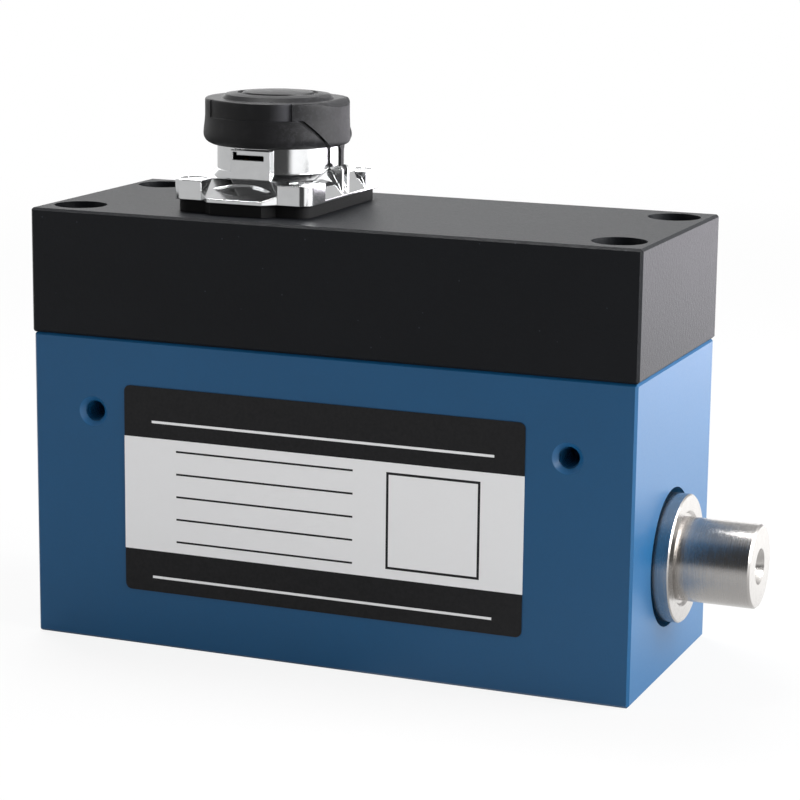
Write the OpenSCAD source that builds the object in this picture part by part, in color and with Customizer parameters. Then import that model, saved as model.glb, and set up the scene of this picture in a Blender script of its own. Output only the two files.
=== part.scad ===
// Rotary torque sensor: a block housing with a shaft on two bearings, a hollow cover
// and a flanged connector with a hinged dust cap.
// Millimetres. X runs along the shaft, -Y is the front face with the label, Z is up,
// and the origin is at the middle of the base.

/* [Housing] */
// Length of the housing block along the shaft
housing_length = 99.6; // [94:0.2:130]
// Depth of the housing block, front to back
housing_depth = 41; // [39:0.2:60]
// Height of the housing block
housing_height = 49.2; // [46:0.2:70]
// Height of the shaft axis above the base
axis_height = 18.4; // [16:0.1:22]
// Chamfer along the edges of the housing and the cover
edge_chamfer = 0.4; // [0.1:0.1:1]

/* [Mounting holes] */
// Distance between the two tapped holes in the front face
front_hole_spacing = 78.8; // [60:0.2:80]
// Height of the front holes above the base
front_hole_height = 37.2; // [33:0.2:41]
// Distance between the base holes along the shaft
base_hole_spacing_x = 80; // [60:1:84]
// Distance between the base holes across the shaft
base_hole_spacing_y = 28; // [24:1:32]
// Drill diameter of the mounting holes
mount_hole_d = 3.3; // [2.5:0.1:4.2]
// Diameter of the countersink at the mouth of each mounting hole
mount_sink_d = 4.9; // [4.4:0.1:6]
// Depth of the mounting holes
mount_hole_depth = 7.5; // [5:0.5:8]

/* [Cover] */
// Height of the cover
cover_height = 19.8; // [17:0.2:30]
// How far the cover stands out past the housing on every side
cover_overhang = 0.2; // [0.2:0.1:1]
// Wall along the front and back of the cover
cover_wall = 3.5; // [2:0.1:5]
// Thickness of the cover's top
cover_top_wall = 4; // [3:0.1:5]
// Distance of the cover screws from the ends of the cover
cover_screw_inset_x = 5.5; // [5:0.1:6.5]
// Distance of the cover screws from the front and back of the cover
cover_screw_inset_y = 6.4; // [5.4:0.1:8]
// Diameter of the counterbore over each cover screw
counterbore_d = 8.3; // [7.6:0.1:9]
// Depth of the counterbore over each cover screw
counterbore_depth = 6.5; // [4.5:0.1:10]
// Wall left between a counterbore and the hollow of the cover
cover_web = 1.85; // [1:0.05:3]

/* [Cover screws] */
// Diameter of the screw heads
cover_screw_head_d = 7; // [6:0.1:7.4]
// Height of the screw heads
cover_screw_head_h = 4; // [3:0.1:4.4]
// Diameter of the screw shanks in the cover
cover_screw_d = 4; // [3.6:0.1:5]
// Diameter of the threaded ends in the housing
cover_thread_d = 3.2; // [2.5:0.1:3.5]
// Length of thread in the housing
cover_thread_length = 10; // [6:0.5:14]
// Width across flats of the hexagon sockets
hex_socket = 3; // [2.5:0.1:4]

/* [Label] */
// Width of the label
label_width = 66.6; // [50:0.2:72]
// Height of the label
label_height = 33; // [25:0.2:36]
// Thickness of the label
label_thickness = 0.15; // [0.05:0.05:0.2]
// Corner radius of the label
label_corner = 1; // [0.5:0.1:3]
// Shift of the label along the shaft
label_shift = -0.5; // [-3:0.1:3]
// Height of the label's lower edge above the base
label_base = 9; // [4:0.2:11]

/* [Shaft] */
// Diameter of the shaft ends
shaft_end_d = 13; // [10:0.1:14]
// How far the shaft stands out of the right end of the housing
right_reach = 14; // [8:0.5:30]
// How far the shaft stands out of the left end of the housing
left_reach = 7.2; // [6:0.2:30]
// Chamfer at the shaft ends
shaft_chamfer = 0.3; // [0.1:0.1:1]
// Diameter of the shaft's body between the bearings
shaft_body_d = 16; // [14:0.1:17.5]
// Mouth of the lathe centre in each shaft end
centre_mouth_d = 5.6; // [4:0.1:7]
// Pilot drill of the lathe centre
centre_pilot_d = 2.5; // [1.5:0.1:3]
// Depth of the pilot drill
centre_depth = 6; // [5:0.5:9]
// Side of the square waist that carries the strain gauges
waist_side = 7; // [5:0.1:8]
// Length of the square waist
waist_length = 20; // [14:0.5:22]
// Length of the cones at both ends of the waist
waist_cone = 3; // [2:0.1:3.5]

/* [Bearings] */
// Outer diameter of the bearings
bearing_od = 21; // [20.6:0.1:23]
// Bore of the bearings
bearing_id = 15; // [14.4:0.1:15.4]
// Width of the bearings
bearing_width = 4; // [3:0.1:5]
// Distance from the housing's end face to the bearing
bearing_setback = 2.5; // [1.5:0.1:5]
// Diameter of the bearing balls, as a share of the space between bore and outer diameter
ball_share = 0.533; // [0.4:0.01:0.57]
// Balls in each bearing
ball_count = 14; // [8:1:16]
// Running gap between a ball and its races
ball_gap = 0.03; // [0.02:0.01:0.06]
// Step in the housing bore that stops the outer ring
bore_shoulder = 1; // [0.6:0.1:1.4]

/* [Collars] */
// How much wider the end recess is than the bearing
recess_step = 0.7; // [0.4:0.1:2]
// Running gap between the collar and the recess
collar_gap = 0.9; // [0.5:0.05:1.2]
// How far the collar stands out of the housing's end face
collar_proud = 2.4; // [1:0.1:5]
// Length of the collar's nose against the inner ring
collar_nose = 0.5; // [0.3:0.1:0.8]
// Chamfer in the collar's bore and on its rim
collar_chamfer = 0.4; // [0.2:0.1:0.8]

/* [Slip rings] */
// Place of the slip rings along the shaft
ring_centre_x = -26; // [-27:0.2:-25]
// Number of slip rings
ring_count = 4; // [2:1:4]
// Width of each slip ring
ring_width = 1.8; // [1:0.1:2.4]
// Distance from one slip ring to the next
ring_pitch = 3.6; // [3:0.1:3.8]
// Radial thickness of the slip rings
ring_thickness = 1.3; // [1:0.1:1.6]
// Gap between the slip rings and the floor of the brush chamber
ring_gap = 0.5; // [0.3:0.05:0.8]
// How far the slip rings stand out of the drum
ring_proud = 0.3; // [0.1:0.05:0.5]
// Drum left outside the first and last slip ring
drum_margin = 1.2; // [0.6:0.1:1.5]
// Diameter of the shaft under the drum
drum_seat_d = 12; // [10:0.1:13]
// Drum left between the shaft and the slip rings
drum_wall = 1.7; // [1.2:0.1:1.9]

/* [Gauges and brushes] */
// Thickness of the strain gauge films
gauge_thickness = 0.1; // [0.05:0.05:0.2]
// Length of the strain gauge films
gauge_length = 8; // [5:0.5:10]
// Width of the strain gauge films
gauge_width = 5; // [3:0.1:5]
// Diameter of the gauge leads
lead_d = 0.44; // [0.3:0.02:0.6]
// Diameter of the brush wires
brush_d = 0.5; // [0.3:0.05:0.7]
// Gap between the brush wires and the slip rings
brush_gap = 0.1; // [0.05:0.01:0.2]
// Free length of the brush wires above the slip rings
brush_free = 4; // [2:0.5:8]
// How far the brush wires reach below the shaft axis
brush_reach = 4; // [2:0.5:6]
// Space round the brush wires in the brush chamber
chamber_gap = 1.4; // [1:0.1:2]
// Length of the brush block
block_length = 19; // [18:0.2:20]
// Space between the brush block and the ends of the chamber
block_gap = 2; // [1:0.1:2.4]
// Height of the feet under the terminal board
block_foot = 1.5; // [1.2:0.1:3]

/* [Terminal board] */
// Thickness of the terminal board
board_thickness = 1.6; // [1:0.1:2.4]
// Height of the spacers under the terminal board
spacer_height = 2; // [1.5:0.1:4]
// Diameter of the spacers
spacer_d = 3.4; // [3:0.1:3.6]
// Gap between the terminal board and the cover's walls
board_gap = 0.6; // [0.4:0.1:0.8]
// Distance of the board screws from the board's edges
board_screw_inset = 1.9; // [1.8:0.1:2]
// Thread diameter of the board screws
board_screw_d = 1.6; // [1.2:0.1:1.8]
// Head diameter of the board screws
board_head_d = 3; // [2.4:0.1:3.4]
// Head height of the board screws
board_head_h = 1.2; // [0.8:0.1:1.6]
// Number of resistors
resistor_count = 5; // [2:1:5]
// Length of each resistor
resistor_length = 3.2; // [2:0.1:3.4]

/* [Connector] */
// Place of the connector along the shaft
connector_x = -16.8; // [-17.4:0.2:0]
// Thickness of the gasket under the flange
gasket_thickness = 1.9; // [1:0.1:3]
// How far the gasket stays inside the flange's outline
gasket_inset = 0.5; // [0.2:0.1:1]
// Width of the flange along the shaft
flange_width = 23.5; // [23.3:0.1:28]
// Depth of the flange over its lobes
flange_depth = 29; // [28:0.2:32]
// Thickness of the flange
flange_thickness = 3.1; // [2.6:0.1:4]
// Corner radius of the flange
flange_corner = 2.2; // [1:0.1:2.6]
// Gap between the lobes, where the tongues lie
tongue_root = 13; // [11:0.2:13.4]
// Width of each tongue's front edge
tongue_tip = 9.2; // [8:0.2:10.4]
// How far the tongues stand out past the lobes
tongue_reach = 1.8; // [1:0.1:3]
// Thickness of the tongues at their front edge
tongue_edge = 0.6; // [0.4:0.1:1.2]
// Length of the lens-shaped recess on each tongue
lens_length = 9.4; // [6:0.2:10]
// Width of the lens-shaped recess on each tongue
lens_width = 3.4; // [2:0.1:4]
// Depth of the lens-shaped recess
lens_depth = 0.35; // [0.1:0.05:0.5]
// Length of each lobe along the side of the flange
lobe_length = 6.4; // [6:0.1:7]
// Drop of the sloped sides at the flange's edge
side_drop = 2.7; // [1.6:0.1:2.8]
// Drop of the sloped sides where they turn steep
side_dip = 0.9; // [0.4:0.1:1.4]
// Distance between the flange screws along the shaft
flange_screw_x = 18.6; // [18:0.1:19]
// Distance between the flange screws across the shaft
flange_screw_y = 22.4; // [21.6:0.1:23]
// Head diameter of the flange screws
flange_head_d = 3.8; // [3:0.1:4]
// Head height of the flange screws
flange_head_h = 1.3; // [0.8:0.1:1.5]
// Thread diameter of the flange screws
flange_screw_d = 2; // [1.6:0.1:2.2]

/* [Connector barrel] */
// Outer diameter of the barrel
barrel_d = 19.2; // [18.6:0.1:19.4]
// Inner diameter of the barrel
barrel_bore = 16.4; // [15:0.1:17]
// Height of the barrel's rim above the cover
barrel_top = 12.6; // [11.5:0.1:12.8]
// Chamfer on the barrel's rim
barrel_chamfer = 0.5; // [0.3:0.1:0.8]
// Width of the flat pad on the front of the barrel
pad_width = 6.7; // [5:0.1:7.4]
// Distance from the barrel's axis to the face of the pad
pad_face = 10.4; // [10:0.05:10.6]
// Width of the slot in the pad
slot_width = 0.7; // [0.4:0.05:1]
// Depth of the slot, from the pad's face through the barrel's wall
slot_depth = 3.6; // [0.8:0.1:3.8]
// Height of the insert's face above the cover
insert_face = 6; // [4:0.1:7]
// Number of contact pins
pin_count = 5; // [3:1:7]
// Diameter of the contact pins
contact_pin_d = 1; // [0.6:0.05:1.4]
// Radius of the circle that the contact pins stand on
pin_circle = 5.2; // [4.8:0.1:6]
// Height of the contact pins above the insert
pin_height = 4.4; // [2:0.1:5]

/* [Dust cap] */
// Height of the cap's lower edge above the cover
cap_bottom = 9.9; // [9.5:0.1:10.4]
// Height of the cap's rim above the cover
cap_top = 17; // [16.4:0.1:20]
// Height of the crown over the cap's rim
crown_rise = 1.2; // [0.8:0.1:1.6]
// Radius of the crown on the cap's top
crown_r = 8.3; // [7:0.1:9]
// Outer diameter of the cap's upper wall
cap_d = 22.7; // [22.5:0.1:23.2]
// Largest diameter of the cap's lower band
band_d = 23.6; // [23.4:0.1:24.4]
// Height of the band's upper edge above the cover
band_top = 14.3; // [13.5:0.1:14.8]
// Gap between the barrel and the cap's skirt
cap_clearance = 0.85; // [0.75:0.05:0.95]
// Thickness of the cap's top
cap_top_wall = 1.8; // [1.2:0.1:2.2]
// Gap between the seal and the barrel's rim
seal_gap = 0.3; // [0.2:0.05:0.5]
// Width of the grooves beside the strap
strap_groove = 0.5; // [0.3:0.05:0.8]
// Distance from the barrel's axis to the hinge pin
hinge_x = 10.9; // [10.8:0.05:11.1]
// Height of the hinge pin above the cover
hinge_z = 6.15; // [6.05:0.05:6.4]
// Diameter of the hinge pin
hinge_pin_d = 0.7; // [0.6:0.05:0.8]
// Diameter of the knuckle round the hinge pin
knuckle_d = 1.4; // [1.3:0.05:1.6]
// Width of the cap's arm between the ears
arm_width = 1.2; // [1:0.1:2]
// Thickness of the cap's arm
arm_thickness = 0.5; // [0.4:0.05:0.6]
// Thickness of each hinge ear
ear_thickness = 0.6; // [0.5:0.05:1.2]
// Gap between the arm and each ear
ear_gap = 0.15; // [0.1:0.05:0.3]

/* [Hidden] */
$fn = 64;

// Clearances: fixed fits, screws in their holes, the drill past the end of a thread,
// and the length by which a cut runs past its face
fit_gap = 0.02;
screw_gap = 0.2;
drill_extra = 0.8;
cut = 1;

// Lengths along the shaft
housing_end = housing_length / 2;
bearing_out = housing_end - bearing_setback;
bearing_in = bearing_out - bearing_width;
waist_end = waist_length / 2;
cone_end = waist_end + waist_cone;
drum_length = ring_count * ring_pitch + 2 * drum_margin;
drum_left = ring_centre_x - drum_length / 2;
drum_right = ring_centre_x + drum_length / 2;

// Radii of the bearings and of what fits round them
pitch_r = (bearing_od + bearing_id) / 4;
ball_d = ball_share * (bearing_od - bearing_id) / 2;
race_lip = 0.38 * ball_d;
inner_ring_r = pitch_r - race_lip;
outer_ring_r = pitch_r + race_lip;
shoulder_r = (bearing_id / 2 + inner_ring_r) / 2;
shoulder_length = 2;
recess_d = bearing_od + recess_step;
collar_d = recess_d - 2 * collar_gap;
collar_seat_r = (shaft_end_d / 2 + bearing_id / 2) / 2;
collar_face = housing_end + collar_proud;
bore_d = bearing_od - 2 * bore_shoulder;
ring_r = drum_seat_d / 2 + drum_wall + ring_thickness;
drum_r = ring_r - ring_proud;
cage_wall = 0.31 * ball_d;
cage_width = 0.7 * bearing_width;
cage_gap = 0.06;

// Waist, gauges and leads
waist_land = 0.1;
waist_bite = 0.5;
waist_root_r = waist_side / sqrt(2) + waist_land;
lead_float = 0.06;
lead_lap = 0.5;
lead_sunk = 1;
lead_in_r = waist_side / 2 + gauge_thickness + lead_d / 2 + lead_float;
lead_in_x = lead_lap - gauge_length / 2;
lead_out_r = drum_seat_d / 2 + lead_sunk;
lead_out_x = drum_right - lead_sunk;
lead_tilt = atan2(lead_out_r - lead_in_r, lead_in_x - lead_out_x);
lead_run = norm([lead_out_r - lead_in_r, lead_in_x - lead_out_x]);

// Brush chamber, brush block and terminal board
brush_y = ring_r + brush_gap + brush_d / 2;
chamber_depth = 2 * (brush_y + brush_d / 2 + chamber_gap);
chamber_length = block_length + 2 * block_gap;
chamber_floor = axis_height - ring_r - ring_gap;
chamber_corner = 3;
block_depth = chamber_depth - chamber_gap;
block_bottom = axis_height + ring_r + brush_free;
foot_length = 3.1;
foot_depth = 3.2;
foot_x = (block_length - foot_length) / 2;
foot_y = (block_depth - foot_depth) / 2;
board_bottom = housing_height + spacer_height;
board_top = board_bottom + board_thickness;
board_margin = 5;
board_corner = 2.5;
board_left = ring_centre_x - block_length / 2 - block_gap;
board_right = max(connector_x + pin_circle, ring_centre_x + chamber_length / 2) + board_margin;
board_x = (board_left + board_right) / 2;
board_length = board_right - board_left;
solder_tail = 0.8;
solder_gap = 0.15;
board_thread = 4;

// Cover and its screws
cover_length = housing_length + 2 * cover_overhang;
cover_depth = housing_depth + 2 * cover_overhang;
cover_top = housing_height + cover_height;
cover_screw_x = cover_length / 2 - cover_screw_inset_x;
cover_screw_y = cover_depth / 2 - cover_screw_inset_y;
cover_seat = cover_top - counterbore_depth;
hollow_length = 2 * (cover_screw_x - counterbore_d / 2 - cover_web);
hollow_depth = cover_depth - 2 * cover_wall;
hollow_corner = 4;
board_depth = hollow_depth - 2 * board_gap;
board_screw_x = board_length / 2 - board_screw_inset;
board_screw_y = board_depth / 2 - board_screw_inset;
hex_depth = cover_screw_head_h / 2;

// Connector heights are counted from the top of the cover
flange_top = gasket_thickness + flange_thickness;
head_below = 0.1;
flange_head_sink = flange_head_h + head_below;
driver_slot = 0.6;
tongue_fillet = 0.9;
tongue_start = barrel_d / 2 + tongue_fillet;
tongue_front = flange_depth / 2 + tongue_reach;
tongue_tilt = atan2(flange_thickness - tongue_edge, tongue_front - tongue_start);
lens_radius = (lens_length * lens_length + lens_width * lens_width) / (4 * lens_width);
side_start = barrel_d / 2;
side_half = flange_depth / 2 - lobe_length;
side_steep = 0.7;
hinge_fillet_h = 2.5;
spigot_d = barrel_bore + 2;
spigot_lip = 1;
pad_top_gap = 0.3;
pad_bottom = flange_top - tongue_fillet;
slot_height = 2;
groove_d = 0.8;
insert_bottom = spigot_lip - cover_top_wall;
key_width = 1.6;
key_height = 0.8;

// Dust cap
barrel_r = barrel_d / 2;
skirt_r = barrel_r + cap_clearance;
groove_depth = 0.25;
core_r = cap_d / 2 - groove_depth;
cap_ceiling = cap_top - cap_top_wall;
seal_bottom = barrel_top + seal_gap;
seal_side_gap = 0.2;
seal_r = skirt_r - seal_side_gap;
band_round = 1.5;
strap_low = 4.4;
strap_high = strap_low + cap_top - cap_bottom;
strap_proud = 0.15;
strap_r = cap_d / 2 + strap_proud;
band_step = 0.2;
lid_bevel = 0.5;
lid_slant = 0.7;
lid_slant_angle = 20;
crown_step = 0.6;
crown_parts = 6;
ring_groove_r = 5.6;
ring_groove_w = 0.8;
tab_proud = 0.15;
tab_r = cap_d / 2 + tab_proud;
tab_edge = 7.6;
notch_from = -72;
notch_to = -55;
notch_depth = 0.45;
arm_gap = 1.05;
arm_bite = 1;
arm_in = barrel_r + arm_gap;
knuckle_gap = 0.06;
ear_margin = 0.2;
ear_d = knuckle_d + ear_margin;
ear_y = arm_width / 2 + ear_gap;
hinge_pin_end = 0.1;
hinge_pin_length = 2 * (ear_y + ear_thickness + hinge_pin_end);

// Helpers

// Turns a shape made along Z so that it lies along X on the shaft axis
module on_axis() {
    translate([0, 0, axis_height]) rotate([0, 90, 0]) children();
}

// Repeats a shape for the right end and, turned half round, for the left end
module at_end(side) {
    rotate([0, 0, side > 0 ? 0 : 180]) children();
}

// Moves a shape to the connector's axis on the cover's top
module at_connector() {
    translate([connector_x, 0, cover_top]) children();
}

// Places a copy at the four corners of a rectangle
module at_corners(x, y) {
    for (i = [-1, 1], j = [-1, 1]) translate([i * x, j * y, 0]) children();
}

// A rectangle with its corners cut off at 45 degrees
module cut_rectangle(a, b, c) {
    polygon([[-a / 2 + c, -b / 2], [a / 2 - c, -b / 2], [a / 2, -b / 2 + c], [a / 2, b / 2 - c],
        [a / 2 - c, b / 2], [-a / 2 + c, b / 2], [-a / 2, b / 2 - c], [-a / 2, -b / 2 + c]]);
}

// A block that stands on z = 0 with all its edges chamfered
module chamfered_block(x, y, z, c) {
    translate([0, 0, z / 2]) intersection() {
        linear_extrude(z, center = true) cut_rectangle(x, y, c);
        rotate([90, 0, 0]) linear_extrude(y, center = true) cut_rectangle(x, z, c);
        rotate([90, 0, 90]) linear_extrude(x, center = true) cut_rectangle(y, z, c);
    }
}

// A rectangle with round corners
module round_rectangle(a, b, r) {
    square([a - 2 * r, b], center = true);
    square([a, b - 2 * r], center = true);
    at_corners(a / 2 - r, b / 2 - r) circle(r);
}

// A blind hole along -Z from z = 0, with a countersunk mouth and a drill point
module tapped_hole(d, depth, mouth) {
    sink = (mouth - d) / 2;
    rotate_extrude() polygon([[0, cut], [mouth / 2 + cut, cut], [d / 2, -sink], [d / 2, -depth],
        [0, -depth - d / 3]]);
}

// Housing and cover

module housing() {
    color("#28507a") difference() {
        chamfered_block(housing_length, housing_depth, housing_height, edge_chamfer);
        on_axis() cylinder(h = housing_length + 2 * cut, d = bore_d, center = true);
        for (side = [-1, 1]) at_end(side) {
            translate([bearing_in, 0, 0]) on_axis() cylinder(h = housing_length, d = bearing_od);
            translate([bearing_out, 0, 0]) on_axis() cylinder(h = housing_length, d = recess_d);
        }
        translate([ring_centre_x, 0, chamber_floor]) linear_extrude(housing_height)
            round_rectangle(chamber_length, chamber_depth, chamber_corner);
        for (i = [-1, 1])
            translate([i * front_hole_spacing / 2, -housing_depth / 2, front_hole_height])
                rotate([90, 0, 0]) tapped_hole(mount_hole_d, mount_hole_depth, mount_sink_d);
        at_corners(base_hole_spacing_x / 2, base_hole_spacing_y / 2)
            rotate([180, 0, 0]) tapped_hole(mount_hole_d, mount_hole_depth, mount_sink_d);
        translate([0, 0, housing_height]) {
            at_corners(cover_screw_x, cover_screw_y)
                tapped_hole(cover_thread_d + 2 * fit_gap, cover_thread_length + drill_extra,
                    cover_screw_d + screw_gap);
            translate([board_x, 0, 0]) at_corners(board_screw_x, board_screw_y)
                tapped_hole(board_screw_d + 2 * fit_gap, board_thread + drill_extra,
                    board_screw_d + screw_gap);
        }
    }
}

module cover() {
    color("#1e1f22") difference() {
        translate([0, 0, housing_height])
            chamfered_block(cover_length, cover_depth, cover_height, edge_chamfer);
        translate([0, 0, housing_height - cut]) linear_extrude(cover_height - cover_top_wall + cut)
            round_rectangle(hollow_length, hollow_depth, hollow_corner);
        at_corners(cover_screw_x, cover_screw_y) {
            translate([0, 0, cover_seat]) cylinder(h = counterbore_depth + cut, d = counterbore_d);
            translate([0, 0, housing_height - cut])
                cylinder(h = cover_height, d = cover_screw_d + 2 * screw_gap);
        }
        at_connector() {
            translate([0, 0, -cover_height / 2]) cylinder(h = cover_height, d = spigot_d + 2 * screw_gap);
            translate([0, 0, -cover_height / 2]) at_corners(flange_screw_x / 2, flange_screw_y / 2)
                cylinder(h = cover_height, d = flange_screw_d + 2 * fit_gap);
        }
    }
}

module cover_screws() {
    color("#2b2b2d") at_corners(cover_screw_x, cover_screw_y) difference() {
        union() {
            translate([0, 0, cover_seat]) cylinder(h = cover_screw_head_h, d = cover_screw_head_d);
            translate([0, 0, housing_height])
                cylinder(h = cover_seat - housing_height + cut, d = cover_screw_d);
            translate([0, 0, housing_height - cover_thread_length])
                cylinder(h = cover_thread_length + cut, d = cover_thread_d);
        }
        translate([0, 0, cover_seat + cover_screw_head_h - hex_depth])
            cylinder(h = hex_depth + cut, d = hex_socket / cos(30), $fn = 6);
    }
}

module name_label() {
    color("#cdcdcd") translate([label_shift, -housing_depth / 2, label_base + label_height / 2])
        rotate([90, 0, 0]) linear_extrude(label_thickness)
            round_rectangle(label_width, label_height, label_corner);
}

// Shaft, collars and bearings

// Place of the shaft's right or left end, counted from the middle
function shaft_end(side) = housing_end + (side > 0 ? right_reach : left_reach);

// Radius and place of each step from the waist's cone out to the end of the shaft
function shaft_steps(end) = [[0, cone_end], [shaft_body_d / 2, cone_end],
    [shaft_body_d / 2, bearing_in - shoulder_length], [shoulder_r, bearing_in - shoulder_length],
    [shoulder_r, bearing_in], [bearing_id / 2, bearing_in],
    [bearing_id / 2, bearing_out - fit_gap], [collar_seat_r, bearing_out - fit_gap],
    [collar_seat_r, collar_face - collar_chamfer], [shaft_end_d / 2, collar_face - collar_chamfer],
    [shaft_end_d / 2, end - shaft_chamfer], [shaft_end_d / 2 - shaft_chamfer, end], [0, end]];

module lathe_centre(end) {
    mouth = centre_mouth_d / 2;
    pilot = centre_pilot_d / 2;
    slope = tan(30);
    rotate_extrude() polygon([[0, end - centre_depth], [pilot, end - centre_depth],
        [pilot, end - (mouth - pilot) / slope], [mouth + cut * slope, end + cut], [0, end + cut]]);
}

// A straight rod along the way of the gauge leads, from the waist's top face into the drum
module lead_path(d, extra) {
    for (turn = [0 : 90 : 270]) translate([0, 0, axis_height]) rotate([turn, 0, 0])
        translate([lead_in_x, 0, lead_in_r]) rotate([0, -90 + lead_tilt, 0])
            translate([0, 0, -extra]) cylinder(h = lead_run + extra, d = d);
}

module shaft() {
    color("#c9cbcd") difference() {
        union() {
            for (side = [-1, 1]) at_end(side) on_axis() {
                rotate_extrude() polygon(shaft_steps(shaft_end(side)));
                translate([0, 0, waist_end])
                    cylinder(h = waist_cone, r1 = waist_root_r, r2 = shaft_body_d / 2);
            }
            translate([0, 0, axis_height])
                cube([waist_length + 2 * waist_bite, waist_side, waist_side], center = true);
        }
        for (side = [-1, 1]) at_end(side) on_axis() lathe_centre(shaft_end(side));
        translate([drum_left, 0, 0]) on_axis() difference() {
            cylinder(h = drum_length, d = 2 * shaft_body_d);
            translate([0, 0, -cut]) cylinder(h = drum_length + 2 * cut, d = drum_seat_d);
        }
        lead_path(lead_d + 2 * screw_gap, cut);
    }
}

// A ring on the shaft end whose nose presses on the bearing's inner ring
module collar(side) {
    bore_r = collar_seat_r + fit_gap;
    nose = bearing_out + collar_nose;
    color("#d4d4d2") at_end(side) on_axis() rotate_extrude() polygon([[bore_r, bearing_out],
        [shoulder_r, bearing_out], [shoulder_r, nose], [collar_d / 2, nose],
        [collar_d / 2, collar_face - collar_chamfer / 2], [collar_d / 2 - collar_chamfer / 2, collar_face],
        [bore_r + collar_chamfer, collar_face], [bore_r, collar_face - collar_chamfer]]);
}

module right_collar() { collar(1); }
module left_collar() { collar(-1); }

module race(r_in, r_out) {
    difference() {
        translate([r_in, bearing_in]) square([r_out - r_in, bearing_width]);
        translate([pitch_r, bearing_in + bearing_width / 2]) circle(ball_d / 2 + ball_gap);
    }
}

module outer_ring(side) {
    color("#b9bcc0") at_end(side) on_axis() rotate_extrude() race(outer_ring_r, bearing_od / 2 - fit_gap);
}

module inner_ring(side) {
    color("#b9bcc0") at_end(side) on_axis() rotate_extrude() race(bearing_id / 2 + fit_gap, inner_ring_r);
}

module balls(side) {
    color("#d8dadc") at_end(side) on_axis() for (i = [0 : ball_count - 1])
        rotate([0, 0, i * 360 / ball_count])
            translate([pitch_r, 0, bearing_in + bearing_width / 2]) sphere(d = ball_d);
}

module cage(side) {
    middle = bearing_in + bearing_width / 2;
    color("#b08d3c") at_end(side) on_axis() difference() {
        translate([0, 0, middle]) cylinder(h = cage_width, r = pitch_r + cage_wall / 2, center = true);
        translate([0, 0, middle]) cylinder(h = bearing_width, r = pitch_r - cage_wall / 2, center = true);
        for (i = [0 : ball_count - 1]) rotate([0, 0, i * 360 / ball_count])
            translate([pitch_r - cut, 0, middle]) rotate([0, 90, 0])
                cylinder(h = 2 * cut, d = ball_d + 2 * cage_gap);
    }
}

module right_outer_ring() { outer_ring(1); }
module right_inner_ring() { inner_ring(1); }
module right_balls() { balls(1); }
module right_cage() { cage(1); }
module left_outer_ring() { outer_ring(-1); }
module left_inner_ring() { inner_ring(-1); }
module left_balls() { balls(-1); }
module left_cage() { cage(-1); }

// Gauges, slip rings and brushes

module strain_gauges() {
    color("#c98a3a") translate([0, 0, axis_height]) for (turn = [0 : 90 : 270]) rotate([turn, 0, 0])
        translate([0, 0, waist_side / 2 + gauge_thickness / 2])
            cube([gauge_length, gauge_width, gauge_thickness], center = true);
}

module gauge_leads() {
    color("#8c2f22") lead_path(lead_d, 0);
}

// Places a copy at the middle of each slip ring
module at_rings() {
    for (i = [0 : ring_count - 1])
        translate([ring_centre_x + (i - (ring_count - 1) / 2) * ring_pitch, 0, 0]) children();
}

module slip_ring_drum() {
    color("#3a4a3f") difference() {
        translate([drum_left + fit_gap, 0, 0]) on_axis() difference() {
            cylinder(h = drum_length - 2 * fit_gap, r = drum_r);
            translate([0, 0, -cut]) cylinder(h = drum_length + 2 * cut, d = drum_seat_d + 2 * fit_gap);
        }
        at_rings() on_axis() difference() {
            cylinder(h = ring_width + 2 * fit_gap, r = ring_r + cut, center = true);
            cylinder(h = ring_pitch, r = ring_r - ring_thickness - fit_gap, center = true);
        }
        lead_path(lead_d + 2 * screw_gap, 0);
    }
}

module slip_rings() {
    color("#c9b27a") at_rings() on_axis() difference() {
        cylinder(h = ring_width, r = ring_r, center = true);
        cylinder(h = ring_pitch, r = ring_r - ring_thickness, center = true);
    }
}

// Places a copy on both sides of every slip ring, where the brush wires run
module at_brushes() {
    at_rings() for (side = [-1, 1]) translate([0, side * brush_y, 0]) children();
}

module brush_block() {
    color("#6b2e22") difference() {
        translate([ring_centre_x - block_length / 2, -block_depth / 2, block_bottom])
            cube([block_length, block_depth, board_bottom - block_bottom]);
        translate([ring_centre_x, 0, board_bottom - block_foot]) {
            translate([0, 0, block_foot]) cube([block_length - 2 * foot_length, block_depth + cut,
                2 * block_foot], center = true);
            translate([0, 0, block_foot]) cube([block_length + cut, block_depth - 2 * foot_depth,
                2 * block_foot], center = true);
        }
        at_brushes() translate([0, 0, block_bottom - cut])
            cylinder(h = board_bottom - block_bottom + 2 * cut, d = brush_d + 2 * fit_gap);
        translate([ring_centre_x, 0, board_bottom]) at_corners(foot_x, foot_y)
            tapped_hole(board_screw_d + 2 * fit_gap, board_thread + drill_extra, board_screw_d + screw_gap);
    }
}

module brushes() {
    low = axis_height - brush_reach;
    color("#d8b24a") at_brushes() translate([0, 0, low])
        cylinder(h = board_top + solder_tail - low, d = brush_d);
}

// Terminal board

// Places a copy at every screw of the terminal board
module at_board_screws() {
    translate([board_x, 0, 0]) at_corners(board_screw_x, board_screw_y) children();
    translate([ring_centre_x, 0, 0]) at_corners(foot_x, foot_y) children();
}

// Places a copy at every contact pin
module at_pins() {
    translate([connector_x, 0, 0]) for (i = [0 : pin_count - 1]) rotate([0, 0, i * 360 / pin_count])
        translate([pin_circle, 0, 0]) children();
}

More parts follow.
